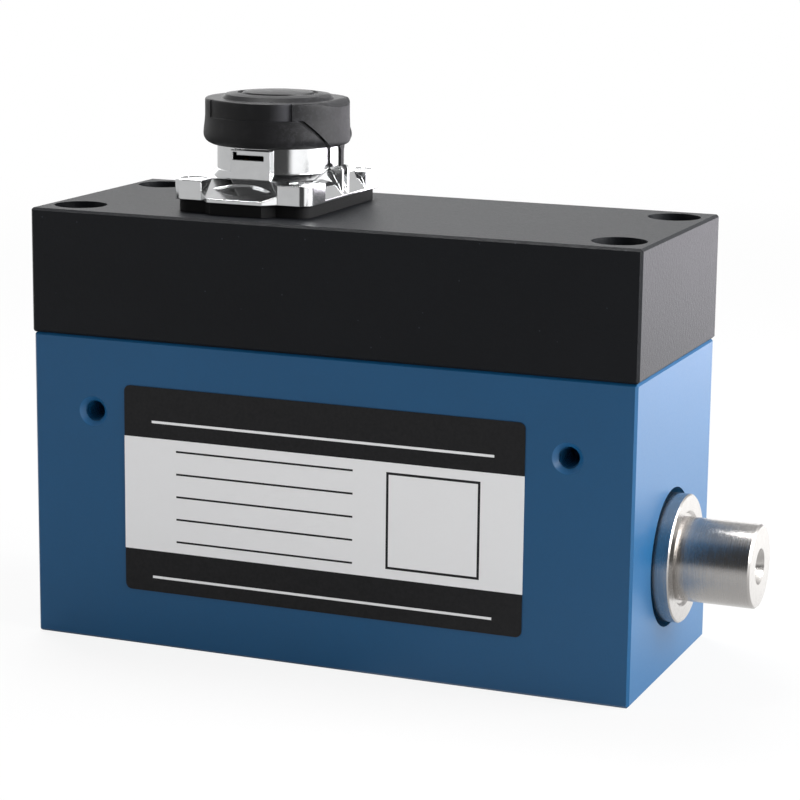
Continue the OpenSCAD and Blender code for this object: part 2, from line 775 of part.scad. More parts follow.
module terminal_board() {
    color("#1f5a36") difference() {
        translate([board_x, 0, board_bottom]) linear_extrude(board_thickness)
            round_rectangle(board_length, board_depth, board_corner);
        translate([0, 0, board_bottom - cut]) {
            at_board_screws() cylinder(h = board_thickness + 2 * cut, d = board_screw_d + screw_gap);
            at_brushes() cylinder(h = board_thickness + 2 * cut, d = brush_d + 2 * solder_gap);
            at_pins() cylinder(h = board_thickness + 2 * cut, d = contact_pin_d + 2 * solder_gap);
        }
    }
}

module board_spacers() {
    color("#c9a84c") translate([board_x, 0, housing_height])
        at_corners(board_screw_x, board_screw_y) difference() {
            cylinder(h = spacer_height, d = spacer_d);
            translate([0, 0, -cut]) cylinder(h = spacer_height + 2 * cut, d = board_screw_d + screw_gap);
        }
}

module board_screw(reach) {
    translate([0, 0, board_top]) cylinder(h = board_head_h, d = board_head_d);
    translate([0, 0, board_top - reach]) cylinder(h = reach + board_head_h / 2, d = board_screw_d);
}

module board_screws() {
    color("#b7b9bb") {
        translate([board_x, 0, 0]) at_corners(board_screw_x, board_screw_y)
            board_screw(board_thickness + spacer_height + board_thread);
        translate([ring_centre_x, 0, 0]) at_corners(foot_x, foot_y)
            board_screw(board_thickness + board_thread);
    }
}

module board_resistors() {
    row = ring_centre_x - (resistor_count - 1) * ring_pitch / 2;
    side = board_depth / 2 - board_screw_inset;
    color("#26262a") for (i = [0 : resistor_count - 1])
        translate([row + i * ring_pitch, side, board_top + resistor_length / 10])
            cube([resistor_length / 2, resistor_length, resistor_length / 5], center = true);
}

// Connector

// The flange's outline: a rounded plate over the lobes and a tongue in front and behind
module flange_outline(inset) {
    half_root = tongue_root / 2 - inset;
    half_tip = tongue_tip / 2 - inset / 2;
    front = tongue_front - inset;
    lobe_front = flange_depth / 2 - inset;
    round_rectangle(flange_width - 2 * inset, flange_depth - 2 * inset, flange_corner);
    for (side = [0, 180]) rotate(side)
        polygon([[-half_tip, -front], [half_tip, -front], [half_root, -lobe_front], [half_root, 0],
            [-half_root, 0], [-half_root, -lobe_front]]);
}

module connector_gasket() {
    color("#141415") at_connector() difference() {
        linear_extrude(gasket_thickness) flange_outline(gasket_inset);
        translate([0, 0, -cut]) {
            cylinder(h = gasket_thickness + 2 * cut, d = spigot_d + 2 * screw_gap);
            at_corners(flange_screw_x / 2, flange_screw_y / 2)
                cylinder(h = gasket_thickness + 2 * cut, d = flange_screw_d + 2 * screw_gap);
        }
    }
}

// What is milled off above the sloped face of one tongue, with its lens-shaped recess
module tongue_slope() {
    slope_length = norm([flange_thickness - tongue_edge, tongue_front - tongue_start]);
    translate([0, -tongue_start, flange_top]) rotate([tongue_tilt, 0, 0]) {
        translate([-tongue_root / 2, -2 * slope_length, 0])
            cube([tongue_root, 2 * slope_length, flange_thickness * 2]);
        translate([0, -slope_length / 2, -lens_depth]) linear_extrude(lens_depth + cut) intersection() {
            translate([0, lens_radius - lens_width / 2]) circle(lens_radius);
            translate([0, lens_width / 2 - lens_radius]) circle(lens_radius);
        }
    }
}

// What is milled off above the sloped side of the flange between two lobes
module side_slope() {
    edge = flange_width / 2;
    rotate([90, 0, 0]) linear_extrude(2 * side_half, center = true)
        polygon([[side_start, flange_top], [edge - side_steep, flange_top - side_dip],
            [edge, flange_top - side_drop], [edge + cut, flange_top - side_drop],
            [edge + cut, flange_top + cut], [side_start, flange_top + cut]]);
}

// The fillet between the barrel and its sloped side, highest under the hinge ears
module hinge_fillet() {
    low = flange_top - side_dip;
    top_half = ear_y + ear_thickness;
    intersection() {
        translate([0, 0, low])
            cylinder(h = hinge_fillet_h, r1 = flange_width / 2 - side_steep, r2 = barrel_r);
        rotate([90, 0, 90]) linear_extrude(flange_width)
            polygon([[-side_half, low], [side_half, low], [top_half, low + hinge_fillet_h],
                [-top_half, low + hinge_fillet_h]]);
    }
}

// One hinge ear: a plate with a round top that stands on the flange
module hinge_ear(side) {
    middle = side * (ear_y + ear_thickness / 2);
    foot = flange_top - side_drop;
    translate([0, middle, 0]) rotate([90, 0, 0]) linear_extrude(ear_thickness, center = true) {
        translate([hinge_x, hinge_z]) circle(d = ear_d);
        translate([hinge_x - ear_d / 2, foot]) square([ear_d, hinge_z - foot]);
    }
}

// The slot on the barrel's pad: down from near the pad's top, then along the barrel
module pad_slot() {
    leg_x = -pad_width / 2 + slot_width;
    leg_z = (flange_top + cap_bottom) / 2 + slot_height / 2;
    translate([leg_x - slot_width / 2, -pad_face - cut, leg_z - slot_width / 2]) {
        cube([slot_width, slot_depth + cut, cap_bottom - pad_top_gap - leg_z]);
        cube([pad_width - 2 * slot_width, slot_depth + cut, slot_width]);
    }
}

module connector_shell() {
    color("#c6c8ca") at_connector() difference() {
        union() {
            difference() {
                translate([0, 0, gasket_thickness]) linear_extrude(flange_thickness) flange_outline(0);
                for (side = [0, 180]) rotate([0, 0, side]) {
                    tongue_slope();
                    side_slope();
                }
            }
            translate([0, 0, -cover_top_wall]) cylinder(h = cover_top_wall + flange_top, d = spigot_d);
            translate([0, 0, gasket_thickness])
                cylinder(h = barrel_top - barrel_chamfer - gasket_thickness, r = barrel_r);
            translate([0, 0, barrel_top - barrel_chamfer])
                cylinder(h = barrel_chamfer, r1 = barrel_r, r2 = barrel_r - barrel_chamfer);
            translate([0, 0, flange_top])
                cylinder(h = tongue_fillet, r1 = tongue_start, r2 = barrel_r);
            translate([-pad_width / 2, -pad_face, pad_bottom])
                cube([pad_width, pad_face - barrel_bore / 2, cap_bottom - pad_top_gap - pad_bottom]);
            hinge_fillet();
            for (side = [-1, 1]) hinge_ear(side);
        }
        pad_slot();
        translate([0, 0, insert_bottom]) cylinder(h = barrel_top + cover_top_wall, d = barrel_bore);
        translate([0, 0, -cover_top_wall - cut])
            cylinder(h = cover_top_wall, d = barrel_bore - 2 * spigot_lip);
        translate([0, 0, (cap_bottom + barrel_top) / 2])
            rotate_extrude() translate([barrel_r, 0]) circle(d = groove_d);
        at_corners(flange_screw_x / 2, flange_screw_y / 2) {
            cylinder(h = flange_top + cut, d = flange_screw_d + 2 * screw_gap);
            translate([0, 0, flange_top - flange_head_sink])
                cylinder(h = flange_head_sink + cut, d = flange_head_d + 2 * screw_gap);
        }
        translate([hinge_x, 0, hinge_z]) rotate([90, 0, 0])
            cylinder(h = hinge_pin_length + 2 * cut, d = hinge_pin_d + 2 * fit_gap, center = true);
    }
}

module connector_insert() {
    color("#1b1b1d") difference() {
        at_connector() translate([0, 0, insert_bottom]) difference() {
            cylinder(h = insert_face - insert_bottom, d = barrel_bore - 2 * fit_gap);
            translate([-key_width / 2, barrel_bore / 2 - key_height, insert_face / 2 - insert_bottom])
                cube([key_width, key_height + cut, insert_face]);
        }
        translate([0, 0, cover_top - cover_height / 2]) at_pins()
            cylinder(h = cover_height, d = contact_pin_d + 2 * fit_gap);
    }
}

module connector_pins() {
    low = board_bottom - solder_tail;
    top = cover_top + insert_face + pin_height;
    color("#d8b24a") at_pins() {
        translate([0, 0, low]) cylinder(h = top - contact_pin_d / 2 - low, d = contact_pin_d);
        translate([0, 0, top - contact_pin_d / 2]) sphere(d = contact_pin_d);
    }
}

module connector_screws() {
    seat = flange_top - flange_head_sink;
    color("#b7b9bb") at_connector() at_corners(flange_screw_x / 2, flange_screw_y / 2) difference() {
        union() {
            translate([0, 0, seat]) cylinder(h = flange_head_h, d = flange_head_d);
            translate([0, 0, -cover_top_wall])
                cylinder(h = cover_top_wall + seat + flange_head_h / 2, d = flange_screw_d);
        }
        translate([0, 0, seat + flange_head_h])
            cube([flange_head_d * 2, driver_slot, flange_head_h], center = true);
    }
}

// Dust cap

// Half section of the cap's lower band, flared downwards and rounded at its lower edge
module band_section() {
    round_r = band_d / 2 - band_round;
    polygon(concat([[0, cap_bottom], [round_r, cap_bottom]],
        [for (a = [-75 : 15 : 0]) [round_r + band_round * cos(a), cap_bottom + band_round * (1 + sin(a))]],
        [[cap_d / 2 + band_step, band_top], [0, band_top]]));
}

// Height of the crown's curved top at a radius
function crown_height(r) = cap_top + crown_rise - (crown_rise - crown_step) * pow(r / crown_r, 2);

// Half section of a plain wall up to the cap's rim, with a broken edge and a crown inside the rim
module lid_section(wall_r, low) {
    polygon(concat([[0, low], [wall_r, low], [wall_r, cap_top - lid_bevel], [wall_r - lid_bevel, cap_top],
        [crown_r + crown_step, cap_top]],
        [for (i = [crown_parts : -1 : 0]) let (r = crown_r * i / crown_parts) [r, crown_height(r)]]));
}

// What is cut from the front of the upper wall: a flat that runs in deeper towards the hinge
module wall_notch() {
    first = cap_d / 2 * [cos(notch_from), sin(notch_from)];
    last = (cap_d / 2 - notch_depth) * [cos(notch_to), sin(notch_to)];
    run = last - first;
    translate([first.x, first.y, band_top]) rotate(atan2(run.y, run.x)) translate([0, -cut, 0])
        cube([norm(run), cut, cap_top]);
}

// The strap's outline seen from the hinge, wide at the top and narrow at the bottom
module strap_prism(grow) {
    translate([barrel_r / 2, 0, 0]) rotate([90, 0, 90]) linear_extrude(band_d)
        polygon([[-strap_low - grow, cap_bottom - cut], [strap_low + grow, cap_bottom - cut],
            [strap_low + grow, cap_bottom], [strap_high + grow, cap_top],
            [strap_high + grow, cap_top + cut], [-strap_high - grow, cap_top + cut],
            [-strap_high - grow, cap_top], [-strap_low - grow, cap_bottom]]);
}

module dust_cap() {
    color("#1f2022") at_connector() difference() {
        union() {
            rotate_extrude() lid_section(core_r, cap_bottom + band_step);
            difference() {
                rotate_extrude() {
                    band_section();
                    lid_section(cap_d / 2, band_top - band_step);
                }
                intersection() {
                    strap_prism(strap_groove);
                    cylinder(h = band_top, r = band_d);
                }
            }
            intersection() {
                rotate_extrude() lid_section(strap_r, cap_bottom);
                strap_prism(0);
            }
            intersection() {
                rotate_extrude() lid_section(tab_r, band_top - band_step);
                translate([-tab_edge - band_d, -band_d / 2, 0]) cube([band_d, band_d, 2 * cap_top]);
            }
            translate([arm_in, -arm_width / 2, hinge_z])
                cube([arm_thickness, arm_width, cap_bottom + arm_bite - hinge_z]);
            translate([hinge_x, 0, hinge_z]) rotate([90, 0, 0])
                cylinder(h = arm_width, d = knuckle_d, center = true);
        }
        translate([0, 0, cap_bottom - cut]) cylinder(h = cap_ceiling - cap_bottom + cut, r = skirt_r);
        translate([hinge_x, 0, hinge_z]) rotate([90, 0, 0])
            cylinder(h = arm_width + 2 * cut, d = hinge_pin_d + 2 * knuckle_gap, center = true);
        translate([0, 0, cap_top + crown_step]) rotate_extrude()
            translate([ring_groove_r, 0]) square([ring_groove_w, crown_rise + cut]);
        wall_notch();
        translate([cap_d / 2, 0, cap_top - lid_slant]) rotate([0, lid_slant_angle, 0])
            translate([-cap_d / 4, -cap_d / 2, 0]) cube([cap_d / 2, cap_d, cap_top]);
    }
}

module cap_seal() {
    color("#2e2e30") at_connector() translate([0, 0, seal_bottom])
        cylinder(h = cap_ceiling - seal_bottom, r = seal_r);
}

module cap_hinge_pin() {
    color("#b7b9bb") at_connector() translate([hinge_x, 0, hinge_z]) rotate([90, 0, 0])
        cylinder(h = hinge_pin_length, d = hinge_pin_d, center = true);
}

housing();
cover();
cover_screws();
name_label();
shaft();
right_collar();
left_collar();
right_outer_ring();
right_inner_ring();
right_balls();
right_cage();
left_outer_ring();
left_inner_ring();
left_balls();
left_cage();
strain_gauges();
gauge_leads();
slip_ring_drum();
slip_rings();
brush_block();
brushes();
terminal_board();
board_spacers();
board_screws();
board_resistors();
connector_gasket();
connector_shell();
connector_insert();
connector_pins();
connector_screws();
dust_cap();
cap_seal();
cap_hinge_pin();
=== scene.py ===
"""Finishes a packed rotary torque sensor: surfaces, fine pieces, light and camera."""
import math
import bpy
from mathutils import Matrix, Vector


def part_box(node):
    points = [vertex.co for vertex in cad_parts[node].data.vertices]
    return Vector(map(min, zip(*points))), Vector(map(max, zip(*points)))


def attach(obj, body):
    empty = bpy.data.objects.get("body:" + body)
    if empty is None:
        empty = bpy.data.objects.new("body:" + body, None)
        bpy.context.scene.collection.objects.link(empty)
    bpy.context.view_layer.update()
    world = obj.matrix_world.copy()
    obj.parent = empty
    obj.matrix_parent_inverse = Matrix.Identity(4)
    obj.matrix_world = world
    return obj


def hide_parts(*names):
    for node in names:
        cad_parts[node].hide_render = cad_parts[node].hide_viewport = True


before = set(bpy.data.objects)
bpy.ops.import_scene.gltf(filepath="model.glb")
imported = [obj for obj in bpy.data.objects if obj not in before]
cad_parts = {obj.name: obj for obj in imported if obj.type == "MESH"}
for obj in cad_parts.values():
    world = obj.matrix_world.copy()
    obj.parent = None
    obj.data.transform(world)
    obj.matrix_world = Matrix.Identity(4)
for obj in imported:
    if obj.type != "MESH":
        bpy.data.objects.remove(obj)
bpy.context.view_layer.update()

from types import SimpleNamespace

import bmesh
import bpy
import numpy as np
from bpy.props import FloatProperty, FloatVectorProperty, IntProperty, PointerProperty
from mathutils import Vector

bl_info = {
    "name": "Rotary Torque Sensor",
    "version": (1, 0, 0),
    "blender": (4, 5, 0),
    "location": "View3D > Sidebar > Torque Sensor",
    "description": "Finishes a packed rotary torque sensor: surfaces, fine pieces, light and camera",
    "category": "Object",
}

MM = 0.001
FULL_TURN = 2 * np.pi

# Creases in degrees: edges that are sharper stay sharp.
PIECE_CREASE = 32
SHELL_CREASE = 10
GASKET_CREASE = 25

# In metres: corners this close are merged and edges this short dissolved on grids made here, and corners
# this close are merged on copies of the frame's pieces, whose faces are joined where they are this flat.
GRID_MERGE = 1e-7
GRID_SLIVER = 1e-8
COPY_MERGE = 1e-5
COPY_FLAT = math.radians(0.5)

# The dust cap: angles of its notch from the hinge in degrees, and the tilt of the plane that cuts its rim.
NOTCH = (-72.0, -55.0)
RIM_TILT = math.radians(20)

# Where edges of the dust cap blend, in millimetres: the slanted groove at the strap and at the band, the
# band's side and the ring groove, the band's upper edge, and the tab's side.
GROOVE_AT_STRAP = (-0.56, -0.44)
GROOVE_AT_BAND = (-0.18, -0.06)
SOFT_EDGE = (-0.06, 0.06)
BAND_TOP_EDGE = (-0.08, 0.10)
TAB_SLOPE = 0.1

# Columns of the dust cap's grid: distances across the slanted groove in millimetres, small steps beside
# the notch and the tab in radians, and shares of the columns from the hinge to the far side.
GROOVE_COLUMNS = (-0.56, -0.50, -0.44, -0.18, -0.12, -0.06, 0.0, 0.06)
NOTCH_STEP = 0.008
TAB_STEPS = (-0.01, 0.0, 0.015)
STRAP_SHARE = 0.40
GROOVE_SHARE = 0.02
EDGE_SHARES = (0.10, 0.01, 0.25, 0.80, 0.01, 0.02, 0.70)

# The stage, in metres but for the film's width in millimetres.
FILM_WIDTH = 36.0
FLOOR_HALF = 4.0
PAPER = (0.60, 0.60, 0.60, 1.0)
WHITE = (1.0, 1.0, 1.0, 1.0)

# Each lamp's name, the setting of its power, its place, its target and its size.
LAMPS = (
    ("KeyLamp", "key_power", (0.62, 0.20, 0.22), (0.05, 0.0, 0.04), 0.40),
    ("SideLamp", "side_power", (0.55, -0.05, 0.30), (0.05, 0.0, 0.04), 0.30),
    ("TopLamp", "top_power", (-0.15, 0.13, 0.57), (0.0, 0.0, 0.05), 0.20),
    ("FillLamp", "fill_power", (-0.65, -0.45, 0.30), (0.0, 0.0, 0.04), 0.40),
)


def span(node):
    """Lowest and highest corner of a node at rest, in millimetres."""
    low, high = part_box(node)
    return np.array(low) / MM, np.array(high) / MM


def cap_centre():
    """Where the dust cap's axis meets the cover's top, in millimetres."""
    low, high = span("connector_insert")
    return (low[0] + high[0]) / 2, (low[1] + high[1]) / 2, span("cover")[1][2]


def screen(red, green, blue):
    """Linear colour of a screen colour given from 0 to 255: ((c/255 + 0.055) / 1.055) to the power 2.4."""
    return tuple(((c / 255 + 0.055) / 1.055) ** 2.4 for c in (red, green, blue))


def colour(name, description, red, green, blue):
    """A colour property whose default is a screen colour."""
    return FloatVectorProperty(name=name, description=description, default=screen(red, green, blue),
                               subtype="COLOR", size=3, min=0.0, max=1.0)


def length(name, description, millimetres):
    """A length property, stored in metres, whose default is given in millimetres."""
    return FloatProperty(name=name, description=description, default=millimetres * MM, unit="LENGTH")


def angle(name, description, degrees):
    """An angle property, stored in radians, whose default is given in degrees."""
    return FloatProperty(name=name, description=description, default=math.radians(degrees),
                         subtype="ANGLE")


def amount(name, description, default, **kind):
    """A number property that is never negative."""
    return FloatProperty(name=name, description=description, default=default, min=0.0, **kind)


def count(name, description, default, fewest):
    """A property for a whole number that is never below the fewest."""
    return IntProperty(name=name, description=description, default=default, min=fewest, subtype="UNSIGNED")


class SensorColours(bpy.types.PropertyGroup):
    """Colours of the sensor's finishes."""

    blue: colour("Blue coat", "Anodised coat of the housing", 5, 76, 119)
    black: colour("Black coat", "Anodised coat of the cover", 17, 19, 23)
    label_field: colour("Label field", "Pale field of the label", 230, 230, 231)
    label_band: colour("Label bands", "Dark bands of the label", 20, 20, 22)
    steel: colour("Steel", "Turned steel of the shaft and collars", 187, 184, 181)
    plating: colour("Plating", "Bright plating of the connector", 226, 227, 228)
    cap: colour("Cap", "Moulded black plastic of the dust cap", 20, 20, 22)
    rubber: colour("Rubber", "Black rubber of the gasket and seal", 20, 20, 21)
    dark_steel: colour("Dark steel", "Blackened steel of the cover screws", 36, 36, 38)
    brass: colour("Brass", "Brass of the cages and spacers", 196, 160, 92)
    gold: colour("Gold", "Gilded contacts and slip rings", 222, 182, 98)
    laminate: colour("Laminate", "Green laminate of the terminal board", 26, 84, 56)
    resin: colour("Resin", "Tan resin of the slip ring drum", 128, 92, 58)
    film: colour("Film", "Amber film of the strain gauges", 196, 132, 48)


class SensorSizes(bpy.types.PropertyGroup):
    """Sizes of the fine pieces and the label's print. Heights on the dust cap count from the cover's top."""

    screw_head: length("Screw head", "Diameter of a cover screw's head", 7)
    screw_head_height: length("Screw head height", "Height of a cover screw's head", 4)
    screw_shank: length("Screw shank", "Diameter of a cover screw's shank", 4)
    screw_chamfer: length("Screw chamfer", "Chamfer round a cover screw's head and tip", 0.35)
    hex_socket: length("Hex socket", "Width across the flats of a cover screw's socket", 3)
    hex_depth: length("Hex depth", "Depth of a cover screw's socket", 2)
    knurl_depth: length("Knurl depth", "Depth of the knurl round a screw head", 0.12)
    thread_radius: length("Thread radius", "Radius of the tapped holes' wall", 1.65)
    thread_pitch: length("Thread pitch", "Pitch of the thread in the tapped holes", 0.7)
    thread_depth: length("Thread depth", "How far the thread stands in from the hole's wall", 0.24)
    thread_start: length("Thread start", "Where the thread starts below the face", 0.8)
    thread_end: length("Thread end", "Where the thread ends below the face", 7.0)
    front_hole_x: length("Front hole place", "Distance of the front holes from the middle", 39.4)
    front_hole_z: length("Front hole height", "Height of the front holes above the base", 37.2)
    base_hole_x: length("Base hole place", "Distance of the base holes from the middle, lengthwise", 40)
    base_hole_y: length("Base hole side", "Distance of the base holes from the middle, crosswise", 14)
    # The countersinks' mask gives them a glossier coat and a painted highlight, a lighter colour.
    sink_radius: length("Countersink", "Radius at the middle of the front holes' countersinks", 2.15)
    sink_half: length("Countersink width", "Half the width of the countersinks' gloss", 0.45)
    sink_start: length("Countersink start", "Where the countersinks' gloss starts below the face", 0.04)
    label_top: length("Label top", "Height of the label's upper band", 8.1)
    label_bottom: length("Label bottom", "Height of the label's lower band", 6.7)
    lines_place: length("Lines place", "Distance of the lines' middle from the label's left edge", 24.0)
    lines_half: length("Lines length", "Half the length of the label's ruled lines", 15.0)
    lines_width: length("Lines width", "Half the width of the label's ruled lines", 0.16)
    frame_place: length("Frame place", "Distance of the frame's middle from the label's right edge", 14.5)
    frame_half: length("Frame size", "Half the width of the label's empty frame", 7.4)
    rule_half: length("Rule length", "Half the length of the pale rule in each band", 28.5)
    rule_above: length("Upper rule", "How far the upper band's rule lies above the field", 2.6)
    rule_below: length("Lower rule", "How far the lower band's rule lies below the field", 4.3)
    rule_width: length("Rule width", "Half the width of the frame's line and the bands' rules", 0.2)
    casting_edge: length("Casting edge", "Rounding of the connector's cast edges", 0.2)
    gasket_edge: length("Gasket edge", "Rounding of the gasket's edges", 0.2)
    cap_bottom: length("Cap bottom", "Height of the cap's lower edge", 9.9)
    cap_rim: length("Cap rim", "Height of the rim round the cap's top", 17.0)
    cap_ceiling: length("Cap ceiling", "Height of the ceiling inside the cap", 15.2)
    cap_skirt: length("Cap skirt", "Radius inside the cap's skirt", 10.45)
    skirt_edge: length("Skirt edge", "Chamfer inside the skirt's lower edge", 0.2)
    cap_lid: length("Cap lid", "Radius of the cap's upper wall", 11.35)
    cap_band: length("Cap band", "Radius of the cap's lower band", 11.8)
    cap_band_top: length("Cap band top", "Height of the band's upper edge", 14.3)
    band_round: length("Band rounding", "Rounding of the band's lower edge", 1.5)
    band_taper: length("Band taper", "How far the band draws in towards its upper edge", 0.25)
    strap_half: length("Strap", "Half the width of the strap at its lower end", 4.4)
    strap_proud: length("Strap height", "How far the strap and the tab stand out of the upper wall", 0.18)
    strap_round: length("Strap rounding", "Rounding of the strap's lower edge", 0.9)
    groove_depth: length("Groove depth", "Depth of the slanted grooves beside the strap", 0.35)
    rim_edge: length("Rim edge", "Rounding of the edge round the cap's top", 0.3)
    rim_drop: length("Rim drop", "How far the rim dips above the strap", 0.7)
    crown_radius: length("Crown radius", "Radius of the crown inside the rim", 8.3)
    crown_step: length("Crown step", "Height of the step up to the crown", 0.6)
    crown_rise: length("Crown rise", "Height of the crown's middle over the rim", 1.2)
    ring_radius: length("Ring groove", "Radius of the ring groove in the crown", 6.0)
    ring_half: length("Ring groove width", "Half the width of the ring groove", 0.4)
    tab_edge: length("Tab edge", "Distance of the thumb tab's edges from the axis, along X", 7.6)
    notch_depth: length("Notch depth", "Depth of the flat notch in the upper wall", 0.45)
    hinge_reach: length("Hinge reach", "Distance from the connector's axis to the hinge pin", 10.9)
    hinge_height: length("Hinge height", "Height of the hinge pin", 6.15)
    arm_width: length("Arm width", "Width of the arm between cap and hinge", 1.2)
    arm_thickness: length("Arm thickness", "Thickness of the arm between cap and hinge", 0.5)
    arm_root: length("Arm root", "How far the arm reaches up into the cap", 1.0)
    arm_flare: length("Arm flare", "Height over which the arm widens below the cap", 0.7)
    knuckle: length("Knuckle", "Radius of the arm's knuckle", 0.7)
    knuckle_bore: length("Knuckle bore", "Radius of the hole through the knuckle", 0.41)
    knuckle_edge: length("Knuckle edge", "Chamfer round the knuckle's ends", 0.08)


class SensorCounts(bpy.types.PropertyGroup):
    """How many lines the label has, and how finely the pieces are made."""

    label_lines: count("Label lines", "Ruled lines on the label", 5, 1)
    knurl: count("Knurl", "Grooves round a screw head", 44, 8)
    cap_columns: count("Cap columns", "Points round the dust cap", 600, 60)
    helix_steps: count("Thread steps", "Points along one turn of a thread", 36, 8)


class StageSettings(bpy.types.PropertyGroup):
    """Camera and light."""

    camera_place: FloatVectorProperty(name="Camera place", description="Where the camera stands",
                                      default=(0.157011, -0.380053, 0.124936), subtype="TRANSLATION")
    azimuth: angle("Azimuth", "Turn of the camera to the right of the front", 21.862)
    elevation: angle("Elevation", "How far the camera looks down", 11.847)
    roll: angle("Roll", "Turn of the camera about its line of sight", 0.652)
    lens: amount("Lens", "Focal length in millimetres on a 36 mm sensor", 118.638, unit="CAMERA")
    ambient: amount("Ambient", "Even light on matt faces from all round", 0.40, subtype="FACTOR")
    room_left: amount("Left wall", "What mirrors see at the left", 0.60, subtype="FACTOR")
    room_right: amount("Right wall", "What mirrors see more of at the right", 0.70, subtype="FACTOR")
    room_back: amount("Backdrop", "What mirrors see more of low down behind", 1.80, subtype="FACTOR")
    room_dark: amount("Front wall", "What mirrors see in front, above the table", 0.06, subtype="FACTOR")
    key_power: amount("Key", "Power of the lamp behind at the right", 5.4, unit="POWER")
    side_power: amount("Side", "Power of the lamp at the right", 3.3, unit="POWER")
    top_power: amount("Top", "Power of the lamp overhead", 3.0, unit="POWER")
    fill_power: amount("Fill", "Power of the lamp at the front left", 1.0, unit="POWER")


def sizes_mm():
    """The sizes as plain numbers in millimetres, and the counts beside them."""
    scene = bpy.context.scene
    lengths = {name: getattr(scene.sensor_sizes, name) / MM for name in SensorSizes.__annotations__}
    counts = {name: getattr(scene.sensor_counts, name) for name in SensorCounts.__annotations__}
    return SimpleNamespace(**lengths, **counts)


def both_ways(operation):
    """An operator of a wire and its reflected form, each of which adds one Math node."""
    def forward(wire, other):
        return wire.maths(operation, wire, other)

    def reflected(wire, other):
        return wire.maths(operation, other, wire)
    return forward, reflected


class Wire:
    """An output of a node tree. Python's operators on it add Math nodes to that tree."""

    def __init__(self, paint, socket):
        self.paint = paint
        self.socket = socket

    def maths(self, operation, *values):
        return self.paint.node("ShaderNodeMath", {"operation": operation}, dict(enumerate(values)))

    __add__, __radd__ = both_ways("ADD")
    __sub__, __rsub__ = both_ways("SUBTRACT")
    __mul__, __rmul__ = both_ways("MULTIPLY")
    __truediv__, __rtruediv__ = both_ways("DIVIDE")
    __mod__, __rmod__ = both_ways("FLOORED_MODULO")
    __gt__, __lt__ = both_ways("GREATER_THAN")

    def __abs__(self):
        return self.maths("ABSOLUTE", self)

    def near(self, middle, reach):
        """1 where the value lies within reach of middle, otherwise 0."""
        return self.maths("COMPARE", self, middle, reach)

    def most(self, other):
        return self.maths("MAXIMUM", self, other)

    def least(self, other):
        return self.maths("MINIMUM", self, other)

    def distance(self, across):
        """Distance of the point (self, across) from the origin."""
        return self.maths("SQRT", self * self + across * across)

    def turn(self, across):
        """Angle of the point (across, self) from the first axis, in radians."""
        return self.maths("ARCTAN2", self, across)

    def ramp(self, low, high):
        """A smooth step: 0 at low and before, 1 at high and after."""
        return self.paint.node("ShaderNodeMapRange", {"interpolation_type": "SMOOTHSTEP"},
                               {0: self, 1: low, 2: high})


class Paint:
    """The nodes of a material or world: one method that adds any node, and the patterns finishes share."""

    def __init__(self, owner):
        owner.use_nodes = True
        self.tree = owner.node_tree
        self.tree.nodes.clear()

    def node(self, kind, settings, sockets, output=0):
        """Adds a node, sets it up, then fills its sockets with values or wires. Returns one output."""
        node = self.tree.nodes.new(kind)
        for name, value in settings.items():
            setattr(node, name, value)
        for key, value in sockets.items():
            if isinstance(value, Wire):
                self.tree.links.new(value.socket, node.inputs[key])
            else:
                node.inputs[key].default_value = value
        return Wire(self, node.outputs[output]) if len(node.outputs) else None

    def rays(self, *kinds):
        """For each named kind of ray, 1 where the ray is of that kind, otherwise 0."""
        path = self.node("ShaderNodeLightPath", {}, {})
        return [Wire(self, path.socket.node.outputs[kind]) for kind in kinds]

    def place(self):
        """Object coordinates in millimetres."""
        coordinates = self.node("ShaderNodeTexCoord", {}, {}, "Object")
        return self.node("ShaderNodeVectorMath", {"operation": "SCALE"}, {0: coordinates, "Scale": 1 / MM})

    def stretch(self, vector, factors):
        return self.node("ShaderNodeVectorMath", {"operation": "MULTIPLY"}, {0: vector, 1: factors})

    def parts(self, vector):
        """The three numbers of a vector."""
        split = self.node("ShaderNodeSeparateXYZ", {}, {0: vector})
        return [Wire(self, output) for output in split.socket.node.outputs]

    def join(self, x, y, z):
        return self.node("ShaderNodeCombineXYZ", {}, {0: x, 1: y, 2: z})

    def noise(self, vector, scale, detail=2.0, rough=0.5):
        """Noise about 0.5, with scale features a millimetre."""
        return self.node("ShaderNodeTexNoise", {},
                         {"Vector": vector, "Scale": scale, "Detail": detail, "Roughness": rough})

    def spots(self, vector, scale):
        """Distance to the nearest point of a scattered set, scale points a millimetre."""
        return self.node("ShaderNodeTexVoronoi", {}, {"Vector": vector, "Scale": scale}, "Distance")

    def mix(self, factor, first, second):
        """Colour between two colours."""
        def solid(value):
            return value if isinstance(value, Wire) else (*value, 1.0)
        return self.node("ShaderNodeMix", {"data_type": "RGBA"},
                         {0: factor, 6: solid(first), 7: solid(second)}, 2)

    def bump(self, height, depth, strength, edge=0.0):
        """Normal of a surface raised by height times depth, its edges rounded by edge, in millimetres."""
        sockets = {"Height": height, "Distance": depth * MM, "Strength": strength}
        if edge:
            sockets["Normal"] = self.node("ShaderNodeBevel", {"samples": 8}, {"Radius": edge * MM})
        return self.node("ShaderNodeBump", {}, sockets)

    def surface(self, sockets):
        """The surface shader with the given sockets, joined to the output."""
        shader = self.node("ShaderNodeBsdfPrincipled", {}, sockets)
        self.node("ShaderNodeOutputMaterial", {}, {"Surface": shader})


def finish(name, pattern, *values):
    """A material whose Principled sockets come from pattern(paint, *values)."""
    material = bpy.data.materials.new(name)
    paint = Paint(material)
    paint.surface(pattern(paint, *values))
    return material


def shade(tint, factor):
    """A colour made lighter or darker by a factor."""
    return tuple(min(1.0, c * factor) for c in tint)


